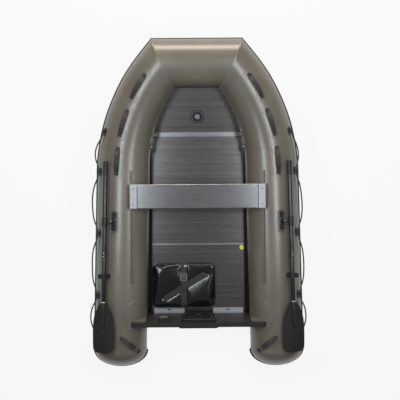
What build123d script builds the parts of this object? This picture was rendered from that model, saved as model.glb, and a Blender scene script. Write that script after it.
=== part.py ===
"""Small inflatable tender: mitred tubes, air keel, aluminium floor, raked transom, sliding seat, two oars.

Millimetres. +Y is the bow, +X starboard, +Z up. The origin is under the middle of the hull, on the ground.
"""
from build123d import *
from math import asin, atan2, cos, degrees, pi, radians, sin, sqrt, tan
import os

# Hull tubes
overall_length = 2380.0
tube_radius = 190.0
bow_radius = 168.0
toe_in = 1.3  # degrees that each side tube closes towards the bow
mitre_heading = 42.0  # degrees that a side tube has turned inboard where it meets the bow tube
plan_radius = 1165.0  # of the side tube's bend, at its centreline
mitre_x = 243.0  # half the bow tube's centreline
mitre_overrun = (60.0, 140.0)  # how far a side tube is drawn on past the mitre, before it is cut
bend_steps = 6
bow_rise = 160.0
sheer_lead = 100.0  # the tubes start to rise this far aft of their bend
cone_length = 116.0

# Rub strake, fabric patches and the air gap between glued pieces
gap = 0.3
strake_height = 34.0
strake_thickness = 10.0
patch_thickness = 2.0
patch_corner = 10.0

# Bottom and air keel
keel_height = 10.0
keel_rise_power = 2.6
skin_thickness = 4.0
skin_attach_angle = 35.0  # degrees up the tube from its lowest line
skin_overhang = 45.0  # aft of the transom's foot
skin_setback = 76.7  # of the skin's fore end from the bow tube's centreline
skin_tuck = 30.0  # the skin is drawn this far into the tube, then trimmed to it
keel_lead = 15.0  # degrees aft of the bow tube's lowest line, where the keel line ends
keel_clearance = 0.6
keel_setback = 306.7  # of the air keel's fore end from the bow tube's centreline

# Floor
floor_height = 110.0
board_thickness = 15.0
stringer_clearance = 3.3  # between the stringers and the tubes, where the hull is narrowest
bow_board_slope = 10.0
bow_joint_setback = 493.7  # of the first joint from the bow tube's centreline
front_board_length = 418.0
middle_board_length = 400.0
wide_joint = 33.0
narrow_joint = 14.0
joint_proud = 1.5
floor_end_clearance = 4.5
bow_board_length = 330.0
bow_board_end_half_width = 192.0
bow_board_bulge = 113.0  # of its curved side, outboard of the board's fore end
groove_width = 3.0
groove_depth = 1.0
groove_pitch = 34.0
stringer_width = 16.0
stringer_grip = 8.0
stringer_wall = 3.0
stringer_setback = 60.0

# Keel valve and floor lock button
valve_setback = 129.0
valve_radius = 51.0
valve_neck_radius = 43.0
valve_well_radius = 37.0
valve_cap_radius = 26.0
valve_depth = 12.0
valve_rim = 4.0
lock_setback = 27.0
lock_radius = 17.0
lock_height = 9.0
lock_chamfer = 3.0
lock_recess_radius = 7.0
lock_recess_depth = 4.0
lock_hole_radius = 3.0

# Transom
transom_setback = 271.7  # of its inner face, carried down to the ground, from the stern cones' roots
transom_rake = 8.0
transom_thickness = 33.0
transom_height = 385.0
transom_bite = 84.8  # its ends lie this far inboard of the tubes' centrelines
transom_side = 60.0  # height of its upright ends above the sloping foot
transom_corner = 22.0
inner_pad_half_width = 123.0
inner_pad_thickness = 26.0
inner_pad_height = 150.0
outer_pad_half_width = 140.0
outer_pad_thickness = 9.0
outer_pad_height = 190.0
pad_corner = 16.0
pad_chamfer = 3.0
holder_flange = 9.0
holder_reach = 112.0
holder_depth = 185.0
holder_drop = 16.0
holder_round = 20.0
holder_base_thickness = 3.0
holder_base_angle = -53.5
holder_base_length = 242.0
holder_base_width = 118.0
drain_radius = 14.0
drain_height = 60.0
drain_flange = 8.0
drain_flange_thickness = 4.0

# Floor clips, transom eye and accessory block
floor_clip_length = 223.0
floor_clip_depth = 34.0
floor_clip_height = 24.0
floor_clip_wall = 5.0
floor_clip_centres = (-216.0, 221.0)
floor_clip_slot = (26.0, 9.0)
eye_bar = 4.0
eye_bow = 20.0
eye_drop = 55.0
eye_plate = (64.0, 24.0, 4.0)
eye_plate_corner = 11.0
block_x = -250.0
block_width = 80.0
block_height = 62.0
block_thickness = 36.0
block_corner = 8.0
block_fillet = 4.0

# Seat and its tracks
track_inset = 72.0  # inboard of the tubes' centrelines where their bend starts
track_fore_setback = 19.6
track_aft_setback = 227.0
track_strip = 34.0
bead_radius = 3.5
bead_web = 3.0
bead_height = 16.0
bead_clearance = 0.5
seat_setback = 185.0
seat_depth = 176.0
seat_overhang = 13.0  # of the end caps past the tracks
seat_thickness = 28.0
seat_corner = 8.0
seat_wall = 12.0
seat_hollow = 10.0
seat_grooves = 9
seat_groove_pitch = 16.0
seat_groove = (3.0, 1.0)
cap_length = 51.0
cap_fillet = 6.0
rail_width = 15.0
rail_wall = 2.5
rail_slot = 5.0

# Bow and stern handles
handle_angle = 9.5  # degrees outboard of the tube's top
handle_setbacks = (160.7, 411.7, 691.7)  # from the bow tube's centreline
handle_length = 205.0
handle_width = 33.0
handle_rise = 22.0
strap_thickness = 5.0
strap_foot = 24.0
strap_ramp = 22.0
strap_bend = 14.0
handle_patch_length = 62.0
handle_patch_width = 66.0
handle_patch_inset = 12.0
handle_lift = 3.8
stern_handle_setback = 60.7
stern_handle_angle = -25.0
stern_handle_turn = -54.0
stern_handle_length = 190.0

# Rowlocks and oars
rowlock_setback = 177.5  # aft of the seat's middle
rowlock_angle = 15.0
plate_length = 155.0
plate_width = 47.0
plate_thickness = 6.0
plate_corner = 12.0
plate_window = (13.0, 42.0, 4.0)
plate_window_pitch = (21.0, 84.0)
plate_window_depth = 3.0
rowlock_patch_length = 178.0
rowlock_patch_width = 74.0
rowlock_patch_corner = 16.0
pin_radius = 7.0
pin_clearance = 0.4
pin_end = 16.0
boss_radius = 17.0
boss_height = 12.0
lug_radius = 14.0
lug_gap = 1.0
lug_end = 12.0
arm_radius = 8.0
oar_height = 60.0
oar_offset = 46.0
shaft_radius = 16.0
collar_radius = 21.0
collar_length = 66.0
collar_chamfer = 3.0
stop_distance = 211.0
stop_length = 44.0
stop_thickness = 2.5
oar_fore = 428.0
oar_neck = 571.0
oar_aft = 930.0
oar_overlap = 150.0
grip_length = 104.0
grip_radius = 18.0
grip_fillets = (8.0, 1.5)
blade_width = 163.0
blade_thickness = 7.0
blade_corner = 38.0
blade_neck_width = 48.0
blade_shoulders = ((4.0, 0.0), (72.0, 6.0), (92.0, 0.0))  # aft of the neck, and narrower than the blade
blade_rim = 8.0
blade_pocket = 1.5
blade_spine = 52.0
socket_wall = 3.0
socket_length = 192.0
clip_distance = 388.0
clip_length = 30.0
clip_wall = 5.0
clip_clearance = 1.0
clip_post = 14.0

# Grab line and its eyes
line_radius = 5.0
knot_radius = 10.0
knot_reach = 4.0
line_eye_angle = 58.0
eye_bow_setbacks = (510.7, 774.7)
eye_stern_setbacks = (851.7, 403.7, 93.7)
eye_height = 14.0
eye_hole_radius = 6.6
eye_radius = 12.0
eye_length = 15.0
eye_patch = (56.0, 44.8)

# Inflation valves and tow eye
tube_valves = ((555.7, -86.0), (451.7, -90.0))  # aft of the bow tube's centreline, and degrees around
tube_valve_radius = 23.0
tube_valve_flange = 7.0
tube_valve_sink = 4.0
tube_valve_cap = 7.0
tow_angle = 40.0  # degrees below level at the front of the bow tube
tow_patch_radius = 55.0
tow_ring_radius = 19.0
tow_ring_bar = 4.0
tow_lug = (30.0, 44.0, 12.0)
tow_lug_corner = 5.0

# Battery bag on the aft board, with its webbing
bag_setback = 189.0
bag_width = 468.0
bag_depth = 326.0
bag_height = 64.0
bag_corner = 24.0
bag_fillet = 20.0
web_offset = 0.7
web_width = 44.0
web_thickness = 3.0
diagonal_offset = (11.7, -4.0)
diagonal_width = 42.0
diagonal_length = 350.0
diagonal_turn = 31.0

# Worked out from the driving sizes
strake_proud = gap + strake_thickness
toe = radians(toe_in)
mitre = radians(mitre_heading)
bow_tube_y = overall_length / 2 - strake_proud - bow_radius
cone_tip_y = -overall_length / 2 + strake_proud
cone_y = cone_tip_y + cone_length
arc_y = bow_tube_y - plan_radius * (sin(mitre) - sin(toe))
arc_x = mitre_x + plan_radius * (cos(toe) - cos(mitre))
sheer_y = arc_y - sheer_lead
bow_tube_z = tube_radius + bow_rise
floor_underside = floor_height - board_thickness
floor_gap_half = arc_x - sqrt(tube_radius**2 - (tube_radius - floor_height) ** 2)
board_half_width = floor_gap_half - stringer_clearance - stringer_width - gap
bow_joint_y = bow_tube_y - bow_joint_setback
mid_joint_y = bow_joint_y - front_board_length
aft_joint_y = mid_joint_y - middle_board_length
rake = radians(transom_rake)
transom_foot_y = cone_y + transom_setback
transom_face_y = transom_foot_y - (floor_height + gap) * tan(rake)
floor_aft_y = transom_face_y + floor_end_clearance
keel_fore_y = bow_tube_y - keel_setback
valve_y = bow_joint_y + valve_setback
lock_x = board_half_width - stringer_grip - gap - lock_radius
lock_y = aft_joint_y - lock_setback
track_x = arc_x - track_inset
track_fore_y = arc_y - track_fore_setback
track_aft_y = transom_foot_y + track_aft_setback
seat_y = track_fore_y - seat_setback
rowlock_y = seat_y - rowlock_setback
seat_half_length = track_x + seat_overhang
stern_handle_y = cone_y + stern_handle_setback
bag_x = stringer_grip + gap - board_half_width + bag_width / 2
bag_y = transom_foot_y + bag_setback


def heading_at(y):
    """Angle in plan between the side tube and straight ahead, in radians."""
    if y <= arc_y:
        return toe
    return asin(min(1.0, sin(toe) + (y - arc_y) / plan_radius))


def centre_x(y):
    """Half the distance between the side tubes' centrelines at y."""
    if y <= arc_y:
        return arc_x + (arc_y - y) * tan(toe)
    return arc_x - plan_radius * (cos(toe) - cos(heading_at(y)))


def sheer_share(y):
    return max(0.0, y - sheer_y) / (bow_tube_y - sheer_y)


def centre_z(y):
    return tube_radius + bow_rise * sheer_share(y) ** 2


def radius_at(y):
    """The side tube tapers with its bend, from the full radius to the bow tube's."""
    turned = (heading_at(y) - toe) / (mitre - toe)
    return tube_radius + (bow_radius - tube_radius) * min(1.0, max(0.0, turned))


def section(y):
    """Plane across the starboard tube: x points outboard, y up and z aft along the tube."""
    heading = heading_at(y)
    climb = 2 * bow_rise * sheer_share(y) / (bow_tube_y - sheer_y) * cos(heading)
    return Plane(
        origin=(centre_x(y), y, centre_z(y)),
        x_dir=(cos(heading), sin(heading), 0),
        z_dir=(sin(heading), -cos(heading), -climb),
    )


def on_tube(y, angle, height=0.0):
    """Plane on the starboard tube, angle degrees outboard of its top: x runs around it, y forward, z outwards."""
    across = section(y)
    turn = radians(angle)
    outwards = across.x_dir * sin(turn) + across.y_dir * cos(turn)
    around = across.x_dir * cos(turn) - across.y_dir * sin(turn)
    return Plane(origin=across.origin + outwards * (radius_at(y) + height), x_dir=around, z_dir=outwards)


def turned(place, angle):
    """The same plane, turned about its own normal."""
    turn = radians(angle)
    along = place.x_dir * cos(turn) + place.y_dir * sin(turn)
    return Plane(origin=place.origin, x_dir=along, z_dir=place.z_dir)


def save(part, name):
    part.label = name
    export_step(part, f"parts/{name}.step")


def port_of(part):
    """The port twin of a starboard piece."""
    with BuildPart() as twin:
        mirror(part, about=Plane.YZ)
    return twin.part


def save_twins(part, name):
    save(part, f"starboard_{name}")
    save(port_of(part), f"port_{name}")


def save_both_sides(part, name):
    """One node that holds a starboard piece and its port twin."""
    with BuildPart() as both:
        add(part)
        add(port_of(part))
    save(both.part, name)


mitre_direction = -section(bow_tube_y).z_dir
mitre_normal = mitre_direction + Vector(-1, 0, 0)
mitre_plane = Plane(origin=(mitre_x, bow_tube_y, bow_tube_z), z_dir=mitre_normal)
port_mitre_plane = Plane(
    origin=(-mitre_x, bow_tube_y, bow_tube_z),
    z_dir=(-mitre_normal.X, mitre_normal.Y, mitre_normal.Z),
)
bend_stations = [arc_y + (bow_tube_y - arc_y) * step / bend_steps for step in range(bend_steps + 1)]


def side_tube(growth=0.0):
    """Starboard tube from its stern cone to the bow mitre, growth larger in radius."""
    with BuildPart() as tube:
        with BuildSketch(section(sheer_y)):
            Circle(tube_radius + growth)
        extrude(amount=(sheer_y - cone_y) / cos(toe))
        for y in [sheer_y, (sheer_y + arc_y) / 2] + bend_stations:
            with BuildSketch(section(y)):
                Circle(radius_at(y) + growth)
        for length in mitre_overrun:
            with BuildSketch(section(bow_tube_y).offset(-length)):
                Circle(bow_radius + growth)
        loft()
        split(bisect_by=mitre_plane, keep=Keep.BOTTOM)
    return tube.part


def bow_tube(growth=0.0):
    """Athwart tube between the two mitres."""
    with BuildPart() as tube:
        with BuildSketch(Plane(origin=(0, bow_tube_y, bow_tube_z), z_dir=(1, 0, 0))):
            Circle(bow_radius + growth)
        extrude(amount=mitre_x + bow_radius, both=True)
        split(bisect_by=mitre_plane, keep=Keep.TOP)
        split(bisect_by=port_mitre_plane, keep=Keep.TOP)
    return tube.part


os.makedirs("parts", exist_ok=True)

# Tubes
starboard_tube = side_tube()
save_twins(starboard_tube, "tube")
save(bow_tube(), "bow_tube")
clear_tube = side_tube(gap)
clear_bow = bow_tube(gap)
with BuildPart() as fabric_layer:
    add(side_tube(gap + patch_thickness))
    add(clear_tube, mode=Mode.SUBTRACT)


def cut_by_tubes():
    """Trims the piece being built to the tubes on both sides."""
    add(clear_tube, mode=Mode.SUBTRACT)
    add(port_of(clear_tube), mode=Mode.SUBTRACT)
    add(clear_bow, mode=Mode.SUBTRACT)


# Stern cones: a rounded cap on each tube
cone_frame = section(cone_y)
cone_plane = Plane(origin=cone_frame.origin, x_dir=cone_frame.z_dir, z_dir=cone_frame.x_dir)
with BuildPart() as stern_cone:
    with BuildSketch(cone_plane):
        with BuildLine():
            EllipticalCenterArc((0, 0), cone_length, tube_radius, start_angle=0, arc_size=90)
            Line((0, tube_radius), (0, 0))
            Line((0, 0), (cone_length, 0))
        make_face()
    revolve(axis=Axis(cone_frame.origin, cone_frame.z_dir))
save_both_sides(stern_cone.part, "stern_cones")


# Rub strakes: a rounded strip along the tubes' widest line
def strake_profile(inner):
    with BuildSketch() as profile:
        with BuildLine():
            Line((inner, -strake_height / 2), (inner, strake_height / 2))
            ThreePointArc(
                (inner, strake_height / 2), (inner + strake_thickness, 0), (inner, -strake_height / 2)
            )
        make_face()
    return profile.sketch


with BuildPart() as strake:
    with BuildSketch(section(sheer_y)):
        add(strake_profile(tube_radius + gap))
    extrude(amount=(sheer_y - cone_y) / cos(toe))
    for y in [sheer_y, (sheer_y + arc_y) / 2] + bend_stations:
        with BuildSketch(section(y)):
            add(strake_profile(radius_at(y) + gap))
    for length in mitre_overrun:
        with BuildSketch(section(bow_tube_y).offset(-length)):
            add(strake_profile(bow_radius + gap))
    loft()
    split(bisect_by=mitre_plane, keep=Keep.BOTTOM)
    with BuildLine(Plane(origin=cone_frame.origin, x_dir=cone_frame.x_dir, z_dir=(0, 0, 1))) as around_stern:
        EllipticalCenterArc(
            (0, 0), tube_radius + gap, cone_length + gap, start_angle=180, arc_size=180
        )
    with BuildSketch(cone_frame):
        add(strake_profile(tube_radius + gap))
    sweep(path=around_stern.wires()[0])
save_twins(strake.part, "rub_strake")

with BuildPart() as bow_strake:
    with BuildSketch(Plane(origin=(0, bow_tube_y, bow_tube_z), x_dir=(0, 1, 0), z_dir=(1, 0, 0))):
        add(strake_profile(bow_radius + gap))
    extrude(amount=mitre_x + bow_radius, both=True)
    split(bisect_by=mitre_plane, keep=Keep.TOP)
    split(bisect_by=port_mitre_plane, keep=Keep.TOP)
save(bow_strake.part, "bow_rub_strake")


# Bottom skin: a shallow V from tube to tube, rising to the bow tube's underside
keel_end_y = bow_tube_y - bow_radius * sin(radians(keel_lead))
keel_end_z = bow_tube_z - bow_radius * cos(radians(keel_lead))
skin_aft_y = transom_foot_y - skin_overhang
skin_fore_y = bow_tube_y - skin_setback
bow_slope_y = bow_joint_y + wide_joint / 2 + stringer_wall


def stations(start, end, steps):
    """Evenly spaced, from past start up to end."""
    return [start + (end - start) * step / steps for step in range(1, steps + 1)]


skin_stations = (
    [skin_aft_y, 0.0, arc_y]
    + stations(arc_y, bow_slope_y, 3)
    + stations(bow_slope_y, keel_fore_y, 2)
    + stations(keel_fore_y, skin_fore_y, 4)
)


def keel_z(y):
    """Height of the skin's lowest line above the ground."""
    share = max(0.0, y - arc_y) / (keel_end_y - arc_y)
    return keel_height + (keel_end_z - keel_height) * share**keel_rise_power


def skin_edge(y):
    """Where the skin meets the starboard tube at y: distance from the middle, and height."""
    up = radians(skin_attach_angle)
    reach = radius_at(y)
    return centre_x(y) - reach * sin(up) * cos(heading_at(y)), centre_z(y) - reach * cos(up)


def skin_slope(y):
    edge_x, edge_z = skin_edge(y)
    return (edge_z - keel_z(y)) / edge_x


with BuildPart() as bottom_skin:
    for y in skin_stations:
        half = skin_edge(y)[0] + skin_tuck
        low, high = keel_z(y), keel_z(y) + skin_slope(y) * half
        with BuildSketch(Plane(origin=(0, y, 0), x_dir=(1, 0, 0), z_dir=(0, -1, 0))):
            with BuildLine():
                Polyline(
                    (0, low),
                    (half, high),
                    (half, high + skin_thickness),
                    (0, low + skin_thickness),
                    (-half, high + skin_thickness),
                    (-half, high),
                    close=True,
                )
            make_face()
    loft(ruled=True)
    cut_by_tubes()
save(bottom_skin.part.solids().sort_by(SortBy.VOLUME)[-1], "bottom_skin")


# Air keel: a tapered tube between the skin and the boards
def board_underside(y):
    past_joint = y - bow_joint_y - wide_joint / 2
    if past_joint <= 0:
        return floor_underside
    slope = radians(bow_board_slope)
    return floor_height - board_thickness / cos(slope) + past_joint * tan(slope)


def keel_radius(y):
    return (board_underside(y) - keel_z(y) - skin_thickness) / 2 - keel_clearance


keel_aft_y = transom_foot_y + skin_thickness / 2
keel_stations = [y for y in skin_stations if arc_y <= y <= keel_fore_y]
with BuildPart() as keel_tube:
    for y in [keel_aft_y] + keel_stations:
        middle = (board_underside(y) + keel_z(y) + skin_thickness) / 2
        with BuildSketch(Plane(origin=(0, y, middle), z_dir=(0, -1, 0))):
            Circle(keel_radius(y))
    loft(ruled=True)
save(keel_tube.part, "keel_tube")


# Floor boards and their joint profiles
def board(fore_y, aft_y, grooves):
    """Flat board between two joints, with athwart grooves near its fore end."""
    with BuildPart() as plank:
        with BuildSketch(Plane.XY.offset(floor_underside)):
            with Locations((0, (fore_y + aft_y) / 2)):
                Rectangle(2 * board_half_width, fore_y - aft_y)
        extrude(amount=board_thickness)
        cut_by_tubes()
        for step in range(grooves):
            with BuildSketch(Plane.XY.offset(floor_height)):
                with Locations((0, fore_y - groove_pitch * (step + 1))):
                    Rectangle(2 * board_half_width, groove_width)
            extrude(amount=-groove_depth, mode=Mode.SUBTRACT)
    return plank.part


def grooves_in(fore_y, aft_y):
    return int((fore_y - aft_y) / groove_pitch) - 1


front_board_span = (bow_joint_y - wide_joint / 2, mid_joint_y + wide_joint / 2)
middle_board_span = (mid_joint_y - wide_joint / 2, aft_joint_y + narrow_joint / 2)
aft_board_span = (aft_joint_y - narrow_joint / 2, floor_aft_y)
save(board(*front_board_span, grooves_in(*front_board_span)), "front_floor_board")
save(board(*middle_board_span, grooves_in(*middle_board_span)), "middle_floor_board")
save(board(*aft_board_span, grooves_in(*aft_board_span)), "aft_floor_board")

bow_board_plane = Plane(
    origin=(0, bow_joint_y + wide_joint / 2, floor_height),
    x_dir=(1, 0, 0),
    z_dir=(0, -sin(radians(bow_board_slope)), cos(radians(bow_board_slope))),
)
bow_board_rise = tan(radians(bow_board_slope))
valve_place = (valve_y - bow_joint_y - wide_joint / 2) / cos(radians(bow_board_slope))
valve_plane = bow_board_plane.shift_origin(bow_board_plane.from_local_coords((0, valve_place, 0)))
with BuildPart() as bow_board:
    with BuildSketch(bow_board_plane):
        with BuildLine():
            Line((-board_half_width, 0), (board_half_width, 0))
            ThreePointArc(
                (board_half_width, 0),
                (bow_board_end_half_width + bow_board_bulge, bow_board_length / 2),
                (bow_board_end_half_width, bow_board_length),
            )
            Line((bow_board_end_half_width, bow_board_length), (-bow_board_end_half_width, bow_board_length))
            ThreePointArc(
                (-bow_board_end_half_width, bow_board_length),
                (-bow_board_end_half_width - bow_board_bulge, bow_board_length / 2),
                (-board_half_width, 0),
            )
        make_face()
    extrude(amount=-board_thickness)
    cut_by_tubes()
    with BuildSketch(valve_plane):
        Circle(valve_neck_radius)
    extrude(amount=-board_thickness, mode=Mode.SUBTRACT)
save(bow_board.part, "bow_floor_board")


def joint_profile(y, width):
    """Aluminium strip between two boards, a little proud of both."""
    with BuildPart() as strip:
        with BuildSketch(Plane.XY.offset(floor_underside)):
            with Locations((0, y)):
                Rectangle(2 * board_half_width, width)
        extrude(amount=board_thickness)
        with BuildSketch(Plane.XY.offset(floor_height)):
            with Locations((0, y)):
                Rectangle(2 * (board_half_width - stringer_grip - gap), width - 2 * joint_proud)
        extrude(amount=joint_proud)
        cut_by_tubes()
    return strip.part


with BuildPart() as joint_profiles:
    add(joint_profile(bow_joint_y, wide_joint))
    add(joint_profile(mid_joint_y, wide_joint))
    add(joint_profile(aft_joint_y, narrow_joint))
save(joint_profiles.part, "floor_joint_profiles")

stringer_fore_y = bow_joint_y - stringer_setback
with BuildPart() as stringer:
    with BuildSketch(
        Plane(origin=(board_half_width, stringer_fore_y, floor_underside), x_dir=(1, 0, 0), z_dir=(0, -1, 0))
    ):
        with Locations((-stringer_grip, -stringer_wall - gap)):
            Rectangle(
                stringer_grip + stringer_width,
                board_thickness + 2 * (stringer_wall + gap),
                align=(Align.MIN, Align.MIN),
            )
        with Locations((gap, -gap)):
            Rectangle(
                stringer_grip + 2 * gap,
                board_thickness + 2 * gap,
                align=(Align.MAX, Align.MIN),
                mode=Mode.SUBTRACT,
            )
    extrude(amount=stringer_fore_y - floor_aft_y)
    cut_by_tubes()
save_both_sides(stringer.part.solids().sort_by(SortBy.VOLUME)[-1], "floor_stringers")

# Keel valve in the bow board, and the round lock button by the starboard stringer
with BuildPart() as keel_valve:
    with BuildSketch(Plane(origin=valve_plane.origin, x_dir=(1, 0, 0), z_dir=valve_plane.y_dir * -1)):
        with BuildLine():
            Polyline(
                (0, -valve_depth),
                (valve_neck_radius - gap, -valve_depth),
                (valve_neck_radius - gap, gap),
                (valve_radius, gap),
                (valve_radius, gap + valve_rim / 2),
                (valve_radius - valve_rim, gap + valve_rim),
                (valve_neck_radius - valve_rim, gap + valve_rim),
                (valve_well_radius, gap + valve_rim / 2),
                (valve_well_radius, valve_rim - valve_depth),
                (valve_cap_radius, valve_rim - valve_depth),
                (valve_cap_radius, gap),
                (valve_cap_radius - valve_rim, gap + valve_rim),
                (0, gap + valve_rim),
                close=True,
            )
        make_face()
    revolve(axis=Axis(valve_plane.origin, valve_plane.z_dir))
save(keel_valve.part, "keel_valve")

with BuildPart() as lock_button:
    with BuildSketch(Plane.XY.offset(floor_height + gap)):
        with Locations((lock_x, lock_y)):
            Circle(lock_radius)
    extrude(amount=lock_height)
    chamfer(lock_button.edges().group_by(Axis.Z)[-1], lock_chamfer)
    with Locations((lock_x, lock_y, floor_height + gap + lock_height)):
        CounterBoreHole(
            radius=lock_hole_radius,
            counter_bore_radius=lock_recess_radius,
            counter_bore_depth=lock_recess_depth,
            depth=lock_height,
        )
save(lock_button.part, "floor_lock_button")

# Transom, raked aft
transom_half_width = centre_x(transom_foot_y) - transom_bite
transom_plane = Plane(
    origin=(0, transom_foot_y, 0), x_dir=(1, 0, 0), z_dir=(0, -cos(rake), -sin(rake))
)
transom_top = transom_height / cos(rake)
transom_foot_z = keel_z(skin_aft_y) + skin_thickness + gap + transom_thickness * sin(rake)
transom_foot = transom_foot_z / cos(rake)
foot_half = centre_x(transom_foot_y) - tube_radius / 2
foot_rise = skin_slope(transom_foot_y) * foot_half / cos(rake)
holder_layer = side_tube(gap + holder_base_thickness)
with BuildPart() as transom_board:
    with BuildSketch(transom_plane):
        with BuildLine():
            Polyline(
                (0, transom_foot),
                (foot_half, transom_foot + foot_rise),
                (transom_half_width, transom_foot + foot_rise + transom_side),
                (transom_half_width, transom_top),
                (-transom_half_width, transom_top),
                (-transom_half_width, transom_foot + foot_rise + transom_side),
                (-foot_half, transom_foot + foot_rise),
                close=True,
            )
        make_face()
        fillet(vertices().group_by(Axis.Y)[-1], transom_corner)
    extrude(amount=transom_thickness)
    seat_on_holder = side_tube(2 * gap + holder_base_thickness)
    add(seat_on_holder, mode=Mode.SUBTRACT)
    add(port_of(seat_on_holder), mode=Mode.SUBTRACT)
    with BuildSketch(transom_plane):
        with Locations((0, drain_height)):
            Circle(drain_radius)
    extrude(amount=transom_thickness, mode=Mode.SUBTRACT)
save(transom_board.part.solids().sort_by(SortBy.VOLUME)[-1], "transom_board")


def motor_pad(half_width, height, thickness, face, name):
    """Plate on one face of the transom, flush with its top."""
    with BuildPart() as pad:
        with BuildSketch(face):
            with Locations((0, transom_top - height / 2)):
                RectangleRounded(2 * half_width, height, pad_corner)
        extrude(amount=thickness)
        chamfer(pad.faces().sort_by(Axis(face.origin, face.z_dir))[-1].edges(), pad_chamfer)
    save(pad.part, name)


inner_face = Plane(origin=transom_plane.origin, x_dir=(-1, 0, 0), z_dir=-transom_plane.z_dir)
outer_face = transom_plane.offset(transom_thickness)
motor_pad(inner_pad_half_width, inner_pad_height, inner_pad_thickness, inner_face, "inner_motor_pad")
motor_pad(outer_pad_half_width, outer_pad_height, outer_pad_thickness, outer_face, "outer_motor_pad")

with BuildPart() as drain_plug:
    with BuildSketch(transom_plane.offset(-gap)):
        with Locations((0, drain_height)):
            Circle(drain_radius + drain_flange)
    extrude(amount=-drain_flange_thickness)
    with BuildSketch(transom_plane.offset(-gap)):
        with Locations((0, drain_height)):
            Circle(drain_radius - gap)
    extrude(amount=transom_thickness + 2 * gap)
    with BuildSketch(outer_face.offset(gap)):
        with Locations((0, drain_height)):
            Circle(drain_radius + drain_flange)
    extrude(amount=2 * drain_flange_thickness)
save(drain_plug.part, "drain_plug")

# Rubber holders that grip the transom's ends: a slotted block on a base that follows the tube
transom_end = transom_plane.from_local_coords((transom_half_width, transom_top, transom_thickness / 2))
with BuildPart() as holder:
    with BuildSketch(transom_plane.offset(-holder_flange)):
        with Locations((transom_half_width + holder_flange, transom_top - holder_drop)):
            Rectangle(holder_reach, holder_depth, align=(Align.MAX, Align.MAX))
    extrude(amount=transom_thickness + 2 * holder_flange)
    upright = Axis(transom_plane.origin, transom_plane.y_dir)
    fillet(holder.faces().sort_by(Axis.X)[-1].edges().filter_by(upright), holder_round)
    with BuildSketch(transom_plane.offset(-gap)):
        with Locations((transom_half_width + gap, transom_top)):
            Rectangle(2 * holder_reach, 2 * holder_depth, align=(Align.MAX, Align.MAX))
    extrude(amount=transom_thickness + 2 * gap, mode=Mode.SUBTRACT)
    add(holder_layer, mode=Mode.SUBTRACT)
holder_lean = transom_end.Y - tube_radius * (cos(radians(holder_base_angle)) - 1) * tan(rake)
base_place = on_tube(holder_lean, holder_base_angle)
with BuildPart() as holder_base:
    with BuildSketch(base_place.offset(2 * holder_base_thickness)):
        RectangleRounded(holder_base_length, holder_base_width, holder_base_width * 0.49)
    extrude(amount=-tube_radius)
    add(holder_layer, mode=Mode.INTERSECT)
    add(clear_tube, mode=Mode.SUBTRACT)
with BuildPart() as transom_holder:
    add(holder_base)
    add(holder)
save_both_sides(transom_holder.part, "transom_holders")

# Two angle clips that hold the floor down at the transom's foot
with BuildPart() as floor_clips:
    for x in floor_clip_centres:
        clip_foot = (x, transom_face_y + gap, floor_height + gap)
        with BuildSketch(Plane(origin=clip_foot, x_dir=(0, 1, 0), z_dir=(1, 0, 0))):
            with BuildLine():
                Polyline(
                    (0, 0),
                    (floor_clip_depth, 0),
                    (floor_clip_depth, floor_clip_wall),
                    (floor_clip_wall, floor_clip_wall),
                    (floor_clip_wall - floor_clip_height * tan(rake), floor_clip_height),
                    (-floor_clip_height * tan(rake), floor_clip_height),
                    close=True,
                )
            make_face()
        extrude(amount=floor_clip_length / 2, both=True)
        with BuildSketch(Plane.XY.offset(floor_height)):
            with Locations((x, transom_face_y + floor_clip_depth * 0.6)):
                SlotOverall(*floor_clip_slot)
        extrude(amount=floor_clip_height, mode=Mode.SUBTRACT)
save(floor_clips.part, "floor_clips")

# Eye on the inner pad and the blank accessory block beside it
with BuildPart() as transom_eye:
    eye_seat = inner_face.offset(inner_pad_thickness + gap)
    with BuildSketch(eye_seat):
        with Locations((0, transom_top - eye_drop)):
            RectangleRounded(*eye_plate[:2], eye_plate_corner)
    extrude(amount=eye_plate[2])
    eye_root = eye_seat.from_local_coords((0, transom_top - eye_drop, eye_plate[2] / 2))
    root_plane = Plane(origin=eye_root, x_dir=(1, 0, 0), z_dir=eye_seat.y_dir)
    with BuildSketch(root_plane):
        SlotCenterToCenter(0.1, 2 * (eye_bow + eye_bar), rotation=90)
        Circle(eye_bow - eye_bar, mode=Mode.SUBTRACT)
        with Locations((0, (eye_bow + eye_bar) * (1 if root_plane.y_dir.dot(eye_seat.z_dir) < 0 else -1))):
            Rectangle(4 * eye_bow, 2 * (eye_bow + eye_bar), mode=Mode.SUBTRACT)
    extrude(amount=eye_bar, both=True)
save(transom_eye.part, "transom_eye")

with BuildPart() as accessory_block:
    with BuildSketch(inner_face.offset(gap)):
        with Locations((-block_x, transom_top - block_height / 2)):
            RectangleRounded(block_width, block_height, block_corner)
    extrude(amount=block_thickness)
    fillet(
        accessory_block.faces().sort_by(Axis(inner_face.origin, inner_face.z_dir))[-1].edges(), block_fillet
    )
save(accessory_block.part, "accessory_block")


# Seat tracks: a fabric strip with a bead on it, along each tube
def tube_top_z(x, y):
    """Height of the starboard tube's skin above the point x, y."""
    return centre_z(y) + sqrt(radius_at(y) ** 2 - (x - centre_x(y)) ** 2)


track_mid_y = (track_fore_y + track_aft_y) / 2
slide_slope = (tube_top_z(track_x, track_fore_y) - tube_top_z(track_x, track_aft_y)) / (
    track_fore_y - track_aft_y
)
slide_angle = degrees(atan2(slide_slope, 1))
slide_direction = Vector(0, 1, slide_slope).normalized()


def bead_z(y):
    return tube_top_z(track_x, track_aft_y) + bead_height + (y - track_aft_y) * slide_slope


def track_plane(y):
    """Plane across the track at y: x outboard, y up and z aft along the bead."""
    return Plane(origin=(track_x, y, bead_z(y)), x_dir=(1, 0, 0), z_dir=slide_direction * -1)


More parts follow.
